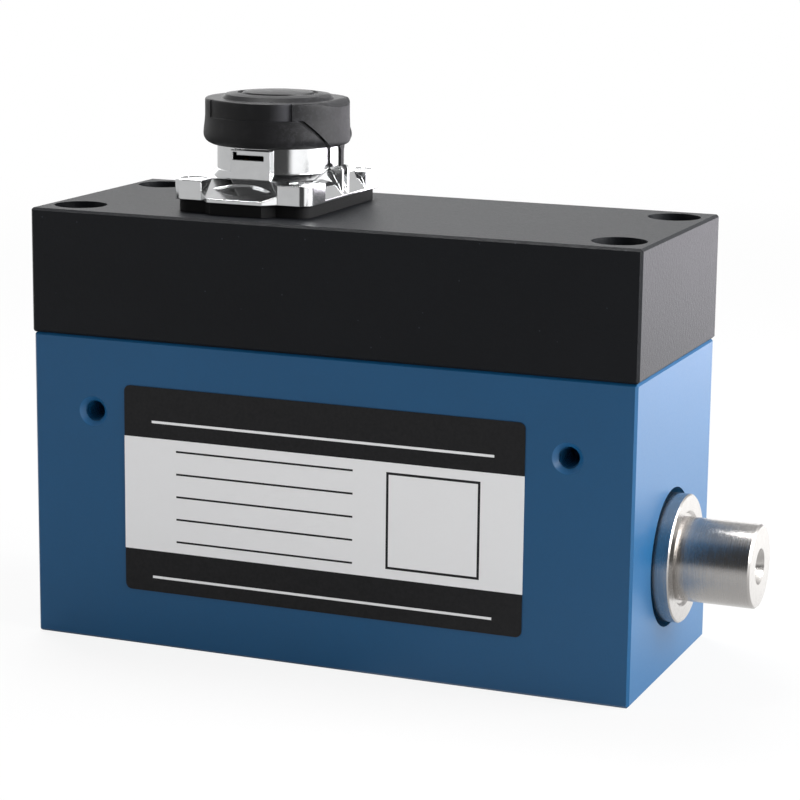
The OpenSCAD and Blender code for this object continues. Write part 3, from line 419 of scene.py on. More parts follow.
def anodised_blue(paint, tint, size):
    """
    Blasted and dyed aluminium: fine matt grain, slow changes in the dye, and glossier countersinks whose
    colour is also made lighter, a painted highlight.
    The countersinks' mask has no far end, so it also shows as two faint rings on the housing's back.
    """
    front = span("housing")[0][1]
    place = paint.place()
    x, y, z = paint.parts(place)
    from_hole = (abs(x) - size.front_hole_x).distance(z - size.front_hole_z)
    sink_gloss_and_highlight = from_hole.near(size.sink_radius, size.sink_half) * (y > front + size.sink_start)
    grain = paint.noise(place, 3.2, 3, 0.6)
    cloud = paint.noise(place, 0.06, 3, 0.55)
    marks = paint.noise(paint.stretch(place, (0.12, 0.12, 5.0)), 1.0, 2)
    base = paint.mix(cloud * 0.5 + grain * 0.5, shade(tint, 0.86), shade(tint, 1.14))
    # Painted highlight: the countersinks' colour is lighter, standing in for the glint on their rims. Their
    # coat is also glossier.
    base = paint.mix(sink_gloss_and_highlight, base, shade(tint, 1.35))
    return {"Base Color": base, "Roughness": 0.36 + grain * 0.12, "Specular IOR Level": 0.35,
            "Coat Weight": 0.2 + sink_gloss_and_highlight * 0.5, "Coat Roughness": 0.4,
            "Normal": paint.bump(grain + marks * 0.25, 0.012, 0.6)}


def anodised_black(paint, tint):
    """Blasted and dyed black aluminium: fine pits in a satin coat, and a few pale specks."""
    place = paint.place()
    grain = paint.noise(place, 4.5, 3, 0.65)
    coarse = paint.noise(place, 1.6, 2)
    pits = paint.spots(place, 3.0).ramp(0.32, 0.10)
    cloud = paint.noise(place, 0.08, 3)
    specks = paint.spots(place, 0.4).ramp(0.06, 0.03)
    base = paint.mix(cloud * 0.6 + grain * 0.4, shade(tint, 0.75), shade(tint, 1.35))
    base = paint.mix(specks * 0.5, base, shade(tint, 9.0))
    return {"Base Color": base, "Roughness": 0.40 + grain * 0.14, "Specular IOR Level": 0.2,
            "Normal": paint.bump(grain + coarse * 2 - pits * 0.5, 0.03, 0.8)}


def printed_film(paint, field, band, size):
    """
    Satin label film, printed by x and z: two dark bands with a pale rule in each, and between them ruled
    lines and an empty frame.
    """
    low, high = span("name_label")
    middle = (low[0] + high[0]) / 2
    top = high[2] - size.label_top
    bottom = low[2] + size.label_bottom
    row = (top - bottom) / size.label_lines
    place = paint.place()
    x, _, z = paint.parts(place)
    fibre = paint.noise(place, 2.0, 3)
    bands = (z > top).most(z < bottom)
    lines = ((z - bottom) % row).near(row / 2, size.lines_width)
    lines = lines * x.near(low[0] + size.lines_place, size.lines_half)
    from_frame = abs(x - (high[0] - size.frame_place)).most(abs(z - (top + bottom) / 2))
    edge = from_frame.near(size.frame_half, size.rule_width)
    upper_rule = z.near(top + size.rule_above, size.rule_width)
    lower_rule = z.near(bottom - size.rule_below, size.rule_width)
    rules = upper_rule.most(lower_rule) * x.near(middle, size.rule_half)
    dark = bands.most(lines.most(edge)) * (1 - rules)
    base = paint.mix(dark, field, band)
    base = paint.mix(fibre * 0.03, base, shade(field, 0.5))
    return {"Base Color": base, "Roughness": 0.42 + fibre * 0.1 - dark * 0.08,
            "Specular IOR Level": 0.2, "Normal": paint.bump(fibre - dark * 0.4, 0.01, 0.4)}


def turned_steel(paint, tint):
    """Steel turned on a lathe: fine grooves round the axis, by distance along and from that axis."""
    low, high = span("shaft")
    axis = (low[2] + high[2]) / 2
    place = paint.place()
    x, y, z = paint.parts(place)
    feed = paint.join(x + y.distance(z - axis), 0.0, 0.0)
    grooves = paint.noise(feed, 20.0, 2, 0.6)
    broad = paint.noise(feed, 2.0, 2)
    stain = paint.noise(place, 0.35, 4, 0.6)
    base = paint.mix(stain * 0.6 + grooves * 0.4, shade(tint, 0.86), shade(tint, 1.12))
    return {"Base Color": base, "Metallic": 1.0, "Roughness": 0.20 + grooves * 0.08 + stain * 0.05,
            "Normal": paint.bump(grooves + broad * 0.5, 0.012, 0.9)}


def cast_plating(paint, tint, size):
    """Bright plating on a die casting: soft edges, and a faint orange peel under the mirror."""
    place = paint.place()
    peel = paint.noise(place, 0.6, 2)
    fine = paint.noise(place, 6.0, 2)
    base = paint.mix(peel, shade(tint, 0.93), shade(tint, 1.05))
    return {"Base Color": base, "Metallic": 1.0, "Roughness": 0.09 + fine * 0.07,
            "Normal": paint.bump(peel + fine * 0.05, 0.02, 0.4, size.casting_edge)}


def moulded_plastic(paint, tint, size):
    """
    Black moulded plastic with a fine spark-eroded grain. It is smoother on top, mottled on the hinge's side,
    and grey in the notch, where a painted reflection grows lighter across it.
    """
    middle_x, middle_y, cover_top = cap_centre()
    rim = cover_top + size.cap_rim
    place = paint.place()
    x, y, z = paint.parts(place)
    hingewards = x - middle_x
    across = y - middle_y
    turn = across.turn(hingewards) * (180 / math.pi)
    outside = hingewards.distance(across) > size.cap_lid - size.notch_depth - size.rim_edge
    # Painted reflection: across the notch the colour ramps up to a pale grey that stands in for a reflection
    # on the upper wall.
    notch_painted_reflection = turn.ramp(*NOTCH) * (turn < NOTCH[1]) * (z > cover_top + size.cap_band_top) * outside
    grain = paint.noise(place, 8.0, 3, 0.6)
    wear = paint.noise(place, 0.5, 4, 0.6).ramp(0.45, 0.75)
    base = paint.mix((wear * 0.5 + grain * 0.3).least(1 - notch_painted_reflection), shade(tint, 0.8), shade(tint, 1.7))
    # The painted reflection lightens the notch.
    base = paint.mix(notch_painted_reflection * 0.8, base, shade(tint, 9.0))
    mottle = paint.noise(place, 1.6, 4, 0.7)
    # Lighter mottle on the hinge's side, in colour, roughness and relief.
    hinge_side = hingewards.ramp(2.0, 9.0)
    base = paint.mix(hinge_side * mottle.ramp(0.46, 0.62) * 0.5, base, shade(tint, 5.0))
    rough = 0.50 + grain * 0.14 - wear * 0.05 - z.ramp(rim - size.rim_edge, rim) * 0.16
    rough = rough + hinge_side * (mottle - 0.45) * 0.4
    return {"Base Color": base, "Roughness": rough, "Specular IOR Level": 0.27,
            "Normal": paint.bump(grain + hinge_side * mottle * 2, 0.012, 0.5)}


def plain_grain(paint, tint, metallic, rough, scale, depth, stretch=(1, 1, 1), specular=0.5):
    """A finish with one noise grain: its colour, roughness and relief vary with that grain."""
    place = paint.stretch(paint.place(), stretch)
    grain = paint.noise(place, scale, 3, 0.6)
    cloud = paint.noise(place, scale * 0.08, 3)
    base = paint.mix(cloud * 0.6 + grain * 0.4, shade(tint, 0.82), shade(tint, 1.15))
    return {"Base Color": base, "Metallic": metallic, "Roughness": rough * 0.8 + grain * rough * 0.4,
            "Specular IOR Level": specular, "Normal": paint.bump(grain, depth, 0.6)}


# Finishes with a plain grain, by slot: name, colour, metallic, roughness, grains a millimetre and depth of
# the grain in millimetres, then its stretch and the specular level where these aren't plain_grain's own.
PLAIN_FINISHES = {
    "screw_steel": ("BlackenedSteel", "dark_steel", 0.8, 0.4, 6, 0.01),
    "gasket_rubber": ("GasketRubber", "rubber", 0.0, 0.70, 4, 0.03, (1, 1, 1), 0.15),
    "seal_rubber": ("SealRubber", "rubber", 0.0, 0.55, 5, 0.02),
    "bearing_steel": ("BearingSteel", "steel", 1.0, 0.16, 8, 0.002),
    "bright_steel": ("BrightSteel", "plating", 1.0, 0.2, 8, 0.004),
    "cage_brass": ("CageBrass", "brass", 1.0, 0.32, 5, 0.01),
    "spacer_brass": ("SpacerBrass", "brass", 1.0, 0.25, 6, 0.005, (1, 1, 6)),
    "gauge_film": ("GaugeFilm", "film", 0.1, 0.3, 3, 0.005, (8, 1, 1)),
    "lead_enamel": ("LeadEnamel", "brass", 0.6, 0.3, 4, 0.004),
    "drum_resin": ("DrumResin", "resin", 0.0, 0.5, 4, 0.02),
    "ring_metal": ("RingMetal", "gold", 1.0, 0.2, 4, 0.003, (8, 1, 1)),
    "block_resin": ("BlockResin", "resin", 0.0, 0.5, 5, 0.02),
    "contact_metal": ("ContactMetal", "gold", 1.0, 0.2, 6, 0.003),
    "board_laminate": ("BoardLaminate", "laminate", 0.0, 0.4, 3, 0.01, (4, 4, 1)),
    "resistor_body": ("ResistorBody", "rubber", 0.0, 0.4, 5, 0.01),
    "insert_plastic": ("InsertPlastic", "rubber", 0.0, 0.42, 5, 0.015),
}


def make_finishes(colours, size):
    """Every material slot of the record with its finish."""
    finishes = {
        "blue_anodised": finish("AnodisedBlue", anodised_blue, colours.blue, size),
        "black_anodised": finish("AnodisedBlack", anodised_black, colours.black),
        "label_film": finish("PrintedFilm", printed_film, colours.label_field, colours.label_band, size),
        "shaft_steel": finish("TurnedSteel", turned_steel, colours.steel),
        "shell_plating": finish("CastPlating", cast_plating, colours.plating, size),
        "cap_plastic": finish("MouldedPlastic", moulded_plastic, colours.cap, size),
    }
    for slot, (name, tint, *values) in PLAIN_FINISHES.items():
        finishes[slot] = finish(name, plain_grain, getattr(colours, tint), *values)
    return finishes


def grid_faces(rows, columns):
    """Quads between neighbouring rows and columns of a grid whose last column joins the first."""
    row, column = np.meshgrid(np.arange(rows - 1), np.arange(columns), indexing="ij")
    beside = (column + 1) % columns
    corners = [row * columns + column, row * columns + beside,
               (row + 1) * columns + beside, (row + 1) * columns + column]
    return np.stack(corners, axis=-1).reshape(-1, 4)


def linked(name, data):
    """A new object in the scene for a mesh, a lamp or a camera."""
    thing = bpy.data.objects.new(name, data)
    bpy.context.collection.objects.link(thing)
    return thing


def smooth_piece(name, mesh, crease):
    """An object for a mesh that is smooth but for edges sharper than the crease."""
    mesh.polygons.foreach_set("use_smooth", np.ones(len(mesh.polygons), dtype=bool))
    mesh.set_sharp_from_angle(angle=math.radians(crease))
    return linked(name, mesh)


def closed_piece(name, grids, finish_name):
    """
    One piece from grids of points in millimetres, each closed round its columns.
    Rows that shrink to one point become poles, because doubles are merged. Faces then point outwards.
    """
    faces = []
    offset = 0
    for grid in grids:
        faces.append(grid_faces(*grid.shape[:2]) + offset)
        offset += grid.shape[0] * grid.shape[1]
    points = np.concatenate([grid.reshape(-1, 3) for grid in grids]) * MM
    mesh = bpy.data.meshes.new(name)
    mesh.from_pydata(points, [], np.concatenate(faces))
    form = bmesh.new()
    form.from_mesh(mesh)
    bmesh.ops.remove_doubles(form, verts=form.verts, dist=GRID_MERGE)
    bmesh.ops.dissolve_degenerate(form, edges=form.edges, dist=GRID_SLIVER)
    bmesh.ops.recalc_face_normals(form, faces=form.faces)
    form.to_mesh(mesh)
    form.free()
    mesh.materials.append(bpy.data.materials[finish_name])
    return smooth_piece(name, mesh, PIECE_CREASE)


def round_grid(radius, height, centre, turns):
    """Points at (radius cos t, radius sin t, height) from a centre, for rows of radius and height."""
    x = centre[0] + radius * np.cos(turns)
    y = centre[1] + radius * np.sin(turns)
    z = np.broadcast_to(centre[2] + height, x.shape)
    return np.stack([x, y, z], axis=-1)


def ring_of(points):
    """Angles of points spread evenly round a full turn."""
    return np.linspace(0, FULL_TURN, points, endpoint=False)


def smooth(value, low, high):
    """Smooth step of an array: 0 at low, 1 at high, 3t^2 - 2t^3 between."""
    t = np.clip((value - low) / (high - low), 0, 1)
    return t * t * (3 - 2 * t)


def stretches(start, *ends):
    """Numbers from a start onwards, by stretches that are given as an end and the steps to it."""
    runs = [np.array([start])]
    for end, steps in ends:
        runs.append(np.linspace(runs[-1][-1], end, steps + 1)[1:])
    return np.concatenate(runs)


class SENSOR_OT_dress_frame(bpy.types.Operator):
    """Give every node of the frame the finish of its record's slot."""

    bl_idname = "sensor.dress_frame"
    bl_label = "Dress the Frame"

    def execute(self, context):
        finishes = make_finishes(context.scene.sensor_colours, sizes_mm())
        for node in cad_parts.values():
            for slot in node.material_slots:
                slot.material = finishes[slot.name.split(".")[0]]
        return {"FINISHED"}


def socket_screw(centre, top, bottom, size):
    """
    A socket head screw on the Z axis, as rows of radius and height from the socket's floor to the tip.
    The hexagon's radius is flats/2 / cos(t) with t folded into 30 degrees about each flat, and the head's
    side is head/2 less a knurl of |sin(count t / 2)|.
    """
    columns = 6 * round(4 * size.knurl / 6)
    turns = ring_of(columns)
    head = size.screw_head / 2
    shank = size.screw_shank / 2
    folded = (turns + np.pi / 6) % (np.pi / 3) - np.pi / 6
    hexagon = size.hex_socket / 2 / np.cos(folded)
    ridge = head - size.knurl_depth * np.abs(np.sin(size.knurl * turns / 2))
    even = np.ones(columns)
    floor = top - size.hex_depth
    under = top - size.screw_head_height
    edge = size.screw_chamfer
    rows = [(0 * even, floor - edge), (hexagon, floor), (hexagon, top - edge / 2),
            (hexagon + edge / 2, top), (even * (head - 1.3 * edge), top),
            (ridge - edge / 2, top - edge / 3), (ridge, top - 1.2 * edge), (ridge, under + edge),
            (even * (head - edge), under), (even * shank, under), (even * shank, bottom + edge),
            (even * (shank - edge), bottom), (0 * even, bottom)]
    radius = np.array([row[0] for row in rows])
    height = np.array([row[1] for row in rows])[:, None]
    return round_grid(radius, height, (centre[0], centre[1], 0.0), turns)


class SENSOR_OT_cover_screws(bpy.types.Operator):
    """Make the four socket head screws of the cover."""

    bl_idname = "sensor.cover_screws"
    bl_label = "Cover Screws"

    def execute(self, context):
        size = sizes_mm()
        low, high = span("cover_screws")
        head = size.screw_head / 2
        places = [(x, y) for x in (low[0] + head, high[0] - head) for y in (low[1] + head, high[1] - head)]
        grids = [socket_screw(place, high[2], low[2], size) for place in places]
        piece = closed_piece("socket_screws", grids, "BlackenedSteel")
        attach(piece, "sensor_body")
        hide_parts("cover_screws")
        return {"FINISHED"}


def thread_ridge(size):
    """
    The thread in a hole that goes down from the origin, as a ridge along a helix of angle t and depth
    start + pitch t / 2 pi. Its foot lies depth / 8 behind the wall. Across the helix a point at the angle c
    of its section stands in from that foot by depth (1 + cos c) / 2 and lies pitch sin c / 3 along the hole.
    Both ends taper off over a turn.
    """
    turns = (size.thread_end - size.thread_start) / size.thread_pitch
    along = np.linspace(0, FULL_TURN * turns, round(turns * size.helix_steps))[:, None]
    across = ring_of(6)[None, :]
    taper = smooth(along, 0, FULL_TURN) * smooth(FULL_TURN * turns - along, 0, FULL_TURN)
    inwards = taper * size.thread_depth * (1 + np.cos(across)) / 2
    radius = size.thread_radius + size.thread_depth / 8 - inwards
    aside = taper * size.thread_pitch * np.sin(across) / 3
    depth = size.thread_start + size.thread_pitch * along / FULL_TURN + aside
    return np.stack([radius * np.cos(along), radius * np.sin(along), -depth], axis=-1)


class SENSOR_OT_threads(bpy.types.Operator):
    """Make the threads of the tapped holes in the front and the base."""

    bl_idname = "sensor.threads"
    bl_label = "Threads"

    def execute(self, context):
        size = sizes_mm()
        ridge = thread_ridge(size)
        front = span("housing")[0][1]
        inwards = np.stack([ridge[..., 0], -ridge[..., 2], ridge[..., 1]], axis=-1)
        upwards = ridge * (1, -1, -1)
        grids = [inwards + (side * size.front_hole_x, front, size.front_hole_z) for side in (-1, 1)]
        grids += [upwards + (x * size.base_hole_x, y * size.base_hole_y, 0)
                  for x in (-1, 1) for y in (-1, 1)]
        piece = closed_piece("hole_threads", grids, "AnodisedBlue")
        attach(piece, "sensor_body")
        return {"FINISHED"}


def merged_copy(node, name, crease):
    """A copy of a node's mesh with its corners merged and its flats joined, sharp beyond the crease."""
    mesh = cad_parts[node].data.copy()
    mesh.name = name
    form = bmesh.new()
    form.from_mesh(mesh)
    bmesh.ops.remove_doubles(form, verts=form.verts, dist=COPY_MERGE)
    bmesh.ops.dissolve_limit(form, angle_limit=COPY_FLAT, verts=form.verts, edges=form.edges)
    form.to_mesh(mesh)
    form.free()
    mesh.attributes.remove(mesh.attributes["custom_normal"])
    return smooth_piece(name, mesh, crease)


class SENSOR_OT_castings(bpy.types.Operator):
    """Make the connector's shell with crisp facets and its gasket with soft edges."""

    bl_idname = "sensor.castings"
    bl_label = "Connector Castings"

    def execute(self, context):
        shell = merged_copy("connector_shell", "shell_casting", SHELL_CREASE)
        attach(shell, "sensor_body")
        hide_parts("connector_shell")
        gasket = merged_copy("connector_gasket", "gasket_pad", GASKET_CREASE)
        rounding = gasket.modifiers.new("Rounding", "BEVEL")
        rounding.width = context.scene.sensor_sizes.gasket_edge
        rounding.segments = 3
        rounding.angle_limit = math.radians(GASKET_CREASE)
        rounding.harden_normals = True
        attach(gasket, "sensor_body")
        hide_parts("connector_gasket")
        return {"FINISHED"}


def cap_turns(height, size):
    """
    Angles from the hinge for a row of points at each height. Some columns follow the edges of the slanted
    groove, where |y| = strap + height - bottom + d sqrt(2) for the distances d across the groove; others
    stay on the edges of the notch and the tab. The rest are spread evenly between these.
    """
    level = np.minimum(height, size.cap_band_top)
    across = np.array(GROOVE_COLUMNS)[:, None] * math.sqrt(2)
    groove = np.arcsin((size.strap_half + level[None, :] - size.cap_bottom + across) / size.cap_lid)
    notch_end, notch_start = np.radians(np.abs(NOTCH))
    tab = math.acos(-size.tab_edge / size.cap_lid)
    fixed = np.array([notch_start, notch_start + NOTCH_STEP, notch_end,
                      *(tab + step for step in TAB_STEPS), np.pi])
    half = np.concatenate([np.zeros((1, height.size)), groove,
                           np.repeat(fixed[:, None], height.size, axis=1)])
    shares = np.array([STRAP_SHARE, *[GROOVE_SHARE] * (len(GROOVE_COLUMNS) - 1), *EDGE_SHARES])
    columns = np.maximum(1, np.round(shares / shares.sum() * size.cap_columns / 2)).astype(int)
    stations = np.concatenate([[0], np.cumsum(columns)])
    weights = np.array([np.interp(np.arange(stations[-1]), stations, row) for row in np.eye(len(stations))])
    turns = half.T @ weights
    end = np.full((height.size, 1), np.pi)
    return np.concatenate([turns, end, -turns[:, :0:-1]], axis=1)


def rounded_in(height, bottom, rounding):
    """How far a rounded lower edge draws in at a height: r - r sqrt(1 - t^2), where t is 1 at the bottom."""
    sunk = np.clip((bottom + rounding - height) / rounding, 0, 1)
    return rounding * (1 - np.sqrt(1 - sunk ** 2))


def cap_wall(turns, height, size):
    """
    Outer radius of the dust cap at an angle from the hinge and a height.
    The upper wall is a cylinder with a thumb tab opposite the hinge and a flat notch at the front, whose
    depth grows along the wall and ends at a step. Below it a band stands proud, with a rounded lower edge.
    Towards the hinge the band ends at a slanted groove, |y| = strap + height - bottom, and the strap between
    the two grooves runs smooth from top to bottom, leaning out.
    """
    bottom = size.cap_bottom
    taper = smooth(height, bottom + size.band_round, size.cap_band_top)
    band = size.cap_band - rounded_in(height, bottom, size.band_round) - size.band_taper * taper
    slant = (np.abs(size.cap_lid * np.sin(turns)) - size.strap_half - height + bottom) / math.sqrt(2)
    slant = np.where(np.cos(turns) > 0, slant, size.cap_lid)
    off_strap = smooth(slant, *GROOVE_AT_STRAP)
    below = smooth(size.cap_band_top - height, *BAND_TOP_EDGE)
    on_band = below * smooth(slant, *SOFT_EDGE)
    groove = below * off_strap * (1 - smooth(slant, *GROOVE_AT_BAND))
    lean = np.clip((size.cap_band_top - height) / (size.cap_band_top - bottom), 0, 1)
    tab = smooth(-size.cap_lid * np.cos(turns), size.tab_edge, size.tab_edge + TAB_SLOPE)
    proud = np.maximum(lean * (1 - off_strap), tab)
    along_notch = (np.degrees(turns) - NOTCH[0]) / (NOTCH[1] - NOTCH[0])
    notch = np.clip(along_notch, 0, 1) * (along_notch < 1.001)
    upper = size.cap_lid + size.strap_proud * proud - size.notch_depth * notch
    upper = upper - rounded_in(height, bottom, size.strap_round)
    return upper + (band - upper) * on_band - size.groove_depth * groove


def cap_top(radius, turns, size):
    """
    Height of the cap's top at a radius and an angle: the rim, then a conical step, then a crown of height
    rise - (rise - step) (r / crown)^2 with a ring groove down to the step. A tilted plane cuts the rim
    above the strap.
    """
    dome = size.crown_rise - (size.crown_rise - size.crown_step) * (radius / size.crown_radius) ** 2
    step = np.clip(size.crown_radius + size.crown_step - radius, 0, size.crown_step)
    crown = np.where(radius < size.crown_radius, dome, step)
    ring = smooth(size.ring_half - np.abs(radius - size.ring_radius), *SOFT_EDGE)
    crown = crown - ring * np.maximum(crown - size.crown_step, 0)
    plane = (size.cap_lid - radius * np.cos(turns)) * math.tan(RIM_TILT) - size.rim_drop
    return size.cap_rim + np.minimum(crown, plane)


def cap_shell(size):
    """
    The dust cap as one closed surface: rows run from the middle of its ceiling, down the skirt's inner wall,
    round the lower edge, up the outer wall, round the rim's edge and over the crown to its middle.
    """
    rounding = size.cap_bottom + size.band_round * np.linspace(0, 1, 12)[:-1] ** 2
    wall_end = size.cap_rim - size.rim_drop - size.rim_edge
    wall = stretches(size.cap_bottom + size.band_round, (size.cap_band_top - 0.1, 29),
                     (size.cap_band_top + 0.1, 6), (wall_end, 9))
    level = np.concatenate([rounding, wall])
    turns = cap_turns(level, size)
    outer_r = cap_wall(turns, level[:, None], size)
    outer_z = np.broadcast_to(level[:, None], turns.shape)
    foot = turns[:1]
    rim = turns[-1:]
    inner = np.array([[0, size.cap_ceiling], [size.cap_skirt, size.cap_ceiling],
                      [size.cap_skirt, size.cap_bottom + size.skirt_edge],
                      [size.cap_skirt + size.skirt_edge, size.cap_bottom]])
    inner_r = np.repeat(inner[:, :1], rim.size, axis=1)
    inner_z = np.repeat(inner[:, 1:], rim.size, axis=1)
    wall_top = cap_top(size.cap_lid, rim, size) - size.rim_edge
    bend = np.linspace(0, np.pi / 2, 7)[:, None]
    edge_r = outer_r[-1:] - size.rim_edge * (1 - np.cos(bend))
    edge_z = wall_top + size.rim_edge * np.sin(bend)
    crown_foot = size.crown_radius + size.crown_step
    rim_r = crown_foot + (edge_r[-1:] - crown_foot) * np.linspace(1, 0, 7)[1:, None]
    groove = 1.25 * size.ring_half
    rings = stretches(crown_foot, (size.crown_radius, 4), (size.ring_radius + groove, 5),
                      (size.ring_radius - groove, 20), (0, 11))[1:]
    plate_r = np.concatenate([rim_r, np.repeat(rings[:, None], rim.size, axis=1)])
    plate_z = cap_top(plate_r, rim, size)
    radius = np.concatenate([inner_r, outer_r, edge_r, plate_r])
    height = np.concatenate([inner_z, outer_z, edge_z, plate_z])
    all_turns = np.concatenate([np.repeat(foot, len(inner), axis=0), turns,
                                np.repeat(rim, len(bend) + len(plate_r), axis=0)])
    return round_grid(radius, height, (0.0, 0.0, 0.0), all_turns)


def cap_arm(size):
    """
    The arm from the cap down to its knuckle: sections of a rounded rectangle x^6 + y^6 = 1, half as wide
    again at the cap, with the ends drawn together to a point as sqrt(1 - t^24).
    """
    rows = np.linspace(0, 1, 24)[:, None]
    around = ring_of(32)[None, :]
    height = size.hinge_height + rows * (size.cap_bottom + size.arm_root - size.hinge_height)
    even = (np.cos(around) ** 6 + np.sin(around) ** 6) ** (-1 / 6)
    closed = np.sqrt(np.clip(1 - (2 * rows - 1) ** 24, 0, 1))
    flare = 1 + 0.5 * smooth(height, size.cap_bottom - size.arm_flare, size.cap_bottom)
    x = size.hinge_reach + closed * size.arm_thickness / 2 * even * np.cos(around)
    y = closed * size.arm_width / 2 * flare * even * np.sin(around)
    return np.stack([x, y, np.broadcast_to(height, x.shape)], axis=-1)


def cap_knuckle(size):
    """The tube round the hinge pin: a closed profile of radius and place along Y, turned about the pin."""
    half = size.arm_width / 2
    bore = size.knuckle_bore
    face = size.knuckle - size.knuckle_edge
    side = half - size.knuckle_edge
    profile = np.array([[bore, -half], [face, -half], [size.knuckle, -side], [size.knuckle, side],
                        [face, half], [bore, half], [bore, -half]])
    around = ring_of(48)[None, :]
    x = size.hinge_reach + profile[:, :1] * np.cos(around)
    z = size.hinge_height + profile[:, :1] * np.sin(around)
    return np.stack([x, np.broadcast_to(profile[:, 1:], x.shape), z], axis=-1)


class SENSOR_OT_dust_cap(bpy.types.Operator):
    """Make the dust cap with its band, strap, grooves, crown, arm and knuckle."""

    bl_idname = "sensor.dust_cap"
    bl_label = "Dust Cap"

    def execute(self, context):
        size = sizes_mm()
        grids = [grid + cap_centre() for grid in (cap_shell(size), cap_arm(size), cap_knuckle(size))]
        piece = closed_piece("cap_moulding", grids, "MouldedPlastic")
        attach(piece, "cap_body")
        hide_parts("dust_cap")
        return {"FINISHED"}


def room(x, y, backdrop, stage):
    """What a mirror sees by the level direction (x, y): grey, brighter at the right and on the backdrop."""
    right = x.ramp(0.0, 0.5) * y.ramp(0.95, 0.60)
    return stage.room_left + right * stage.room_right + y.ramp(-0.2, 0.7) * backdrop * stage.room_back


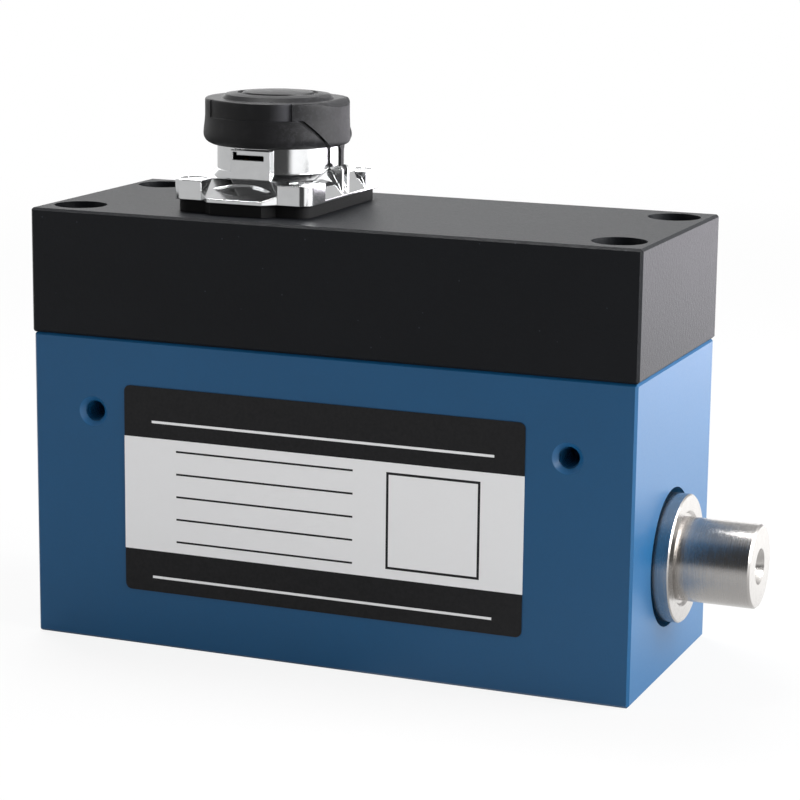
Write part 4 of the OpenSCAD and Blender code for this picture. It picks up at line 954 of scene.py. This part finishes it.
class SENSOR_OT_stage(bpy.types.Operator):
    """Make the floor, the surroundings, the lamps and the camera."""

    bl_idname = "sensor.stage"
    bl_label = "Stage"

    def execute(self, context):
        scene = context.scene
        stage = scene.sensor_stage
        scene.view_settings.view_transform = "Standard"
        self.floor(stage)
        self.surroundings(scene, stage)
        for name, power, place, target, size in LAMPS:
            self.lamp(name, getattr(stage, power), place, target, size)
        self.camera(scene, stage)
        return {"FINISHED"}

    def floor(self, stage):
        """
        A pale sheet that takes the shadow and looks white to the camera.
        Mirrors see it as bright as the room beyond it, dimmer close to the part, dark in one sector and a
        little cooler far behind.
        """
        corners = FLOOR_HALF * np.array([(-1, -1, 0), (1, -1, 0), (1, 1, 0), (-1, 1, 0)])
        mesh = bpy.data.meshes.new("Floor")
        mesh.from_pydata(corners, [], [(0, 1, 2, 3)])
        material = bpy.data.materials.new("PaleFloor")
        paint = Paint(material)
        camera, glossy = paint.rays("Is Camera Ray", "Is Glossy Ray")
        x, y, _ = paint.parts(paint.node("ShaderNodeTexCoord", {}, {}, "Object"))
        reach = x.distance(y)
        right = x / reach
        back = y / reach
        sector = right.ramp(0.05, 0.20) * right.ramp(0.80, 0.66) * back.ramp(-0.3, -0.5)
        sector = sector * reach.ramp(0.15, 0.35)
        behind = right.ramp(-0.2, 0.35)
        far = reach.ramp(0.24, 0.43)
        seen = room(right, back, behind * (0.7 + 1.3 * far), stage)
        seen = seen * (0.5 + 0.5 * reach.ramp(0.03, 0.26))
        seen = seen + (stage.room_dark - seen) * sector
        cool = seen * behind * far * back.ramp(-0.2, 0.7)
        tone = paint.join(seen + cool * 0.03, seen - cool * 0.02, seen + cool * 0.06)
        paper = paint.node("ShaderNodeBsdfDiffuse", {}, {"Color": PAPER})
        mirrored = paint.node("ShaderNodeEmission", {}, {"Color": tone})
        glow = paint.node("ShaderNodeEmission", {}, {"Color": WHITE})
        both = paint.node("ShaderNodeMixShader", {}, {0: glossy, 1: paper, 2: mirrored})
        white = camera * (0.86 + 0.14 * reach.ramp(0.20, 0.60))
        both = paint.node("ShaderNodeMixShader", {}, {0: white, 1: both, 2: glow})
        paint.node("ShaderNodeOutputMaterial", {}, {"Surface": both})
        mesh.materials.append(material)
        floor = linked("Floor", mesh)

    def surroundings(self, scene, stage):
        """White for the camera, even light for matt faces, and a room for mirrors, dark high in front."""
        world = bpy.data.worlds.new("WhiteTent")
        scene.world = world
        paint = Paint(world)
        camera, glossy, through = paint.rays("Is Camera Ray", "Is Glossy Ray", "Is Transmission Ray")
        x, y, z = paint.parts(paint.node("ShaderNodeTexCoord", {}, {}, "Generated"))
        dark = y.ramp(-0.15, -0.4) * z.ramp(0.96, 0.88)
        backdrop = z.ramp(0.30, 0.12) * x.ramp(0.10, -0.35)
        tent = room(x, y, backdrop, stage) * (1 - dark) + stage.room_dark * dark
        level = paint.node("ShaderNodeMix", {}, {0: glossy.most(through), 2: stage.ambient, 3: tent})
        level = paint.node("ShaderNodeMix", {}, {0: camera, 2: level, 3: 1.0})
        sky = paint.node("ShaderNodeBackground", {}, {"Color": paint.join(level, level, level)})
        paint.node("ShaderNodeOutputWorld", {}, {"Surface": sky})

    def lamp(self, name, power, place, target, size):
        """A square soft lamp that faces a target."""
        light = bpy.data.lights.new(name, "AREA")
        light.size = size
        light.energy = power
        lamp = linked(name, light)
        lamp.location = place
        lamp.rotation_euler = (Vector(target) - Vector(place)).to_track_quat("-Z", "Y").to_euler()

    def camera(self, scene, stage):
        """A camera that looks along (-sin a cos e, cos a cos e, -sin e), rolled about that line."""
        level = math.cos(stage.elevation)
        sight = Vector((-math.sin(stage.azimuth) * level, math.cos(stage.azimuth) * level,
                        -math.sin(stage.elevation)))
        data = bpy.data.cameras.new("Camera")
        data.sensor_width = FILM_WIDTH
        data.lens = stage.lens
        camera = linked("Camera", data)
        camera.location = stage.camera_place
        camera.rotation_euler = sight.to_track_quat("-Z", "Y").to_euler()
        camera.rotation_euler.rotate_axis("Z", stage.roll)
        scene.camera = camera


class SENSOR_PT_panel(bpy.types.Panel):
    """The sensor's settings and the operators that make its pieces."""

    bl_idname = "SENSOR_PT_panel"
    bl_label = "Torque Sensor"
    bl_space_type = "VIEW_3D"
    bl_region_type = "UI"
    bl_category = "Torque Sensor"

    def draw(self, context):
        for setting, group in GROUPS.items():
            box = self.layout.box()
            for name in group.__annotations__:
                box.prop(getattr(context.scene, setting), name)
        for operator in OPERATORS:
            self.layout.operator(operator.bl_idname)


GROUPS = {"sensor_colours": SensorColours, "sensor_sizes": SensorSizes, "sensor_counts": SensorCounts,
          "sensor_stage": StageSettings}
OPERATORS = (SENSOR_OT_dress_frame, SENSOR_OT_cover_screws, SENSOR_OT_threads, SENSOR_OT_castings,
             SENSOR_OT_dust_cap, SENSOR_OT_stage)
CLASSES = (*GROUPS.values(), *OPERATORS, SENSOR_PT_panel)


def register():
    for kind in CLASSES:
        bpy.utils.register_class(kind)
    for setting, group in GROUPS.items():
        setattr(bpy.types.Scene, setting, PointerProperty(type=group))


def unregister():
    for setting in GROUPS:
        delattr(bpy.types.Scene, setting)
    for kind in reversed(CLASSES):
        bpy.utils.unregister_class(kind)


def main():
    register()
    bpy.ops.sensor.dress_frame()
    bpy.ops.sensor.cover_screws()
    bpy.ops.sensor.threads()
    bpy.ops.sensor.castings()
    bpy.ops.sensor.dust_cap()
    bpy.ops.sensor.stage()


if __name__ == "__main__":
    main()
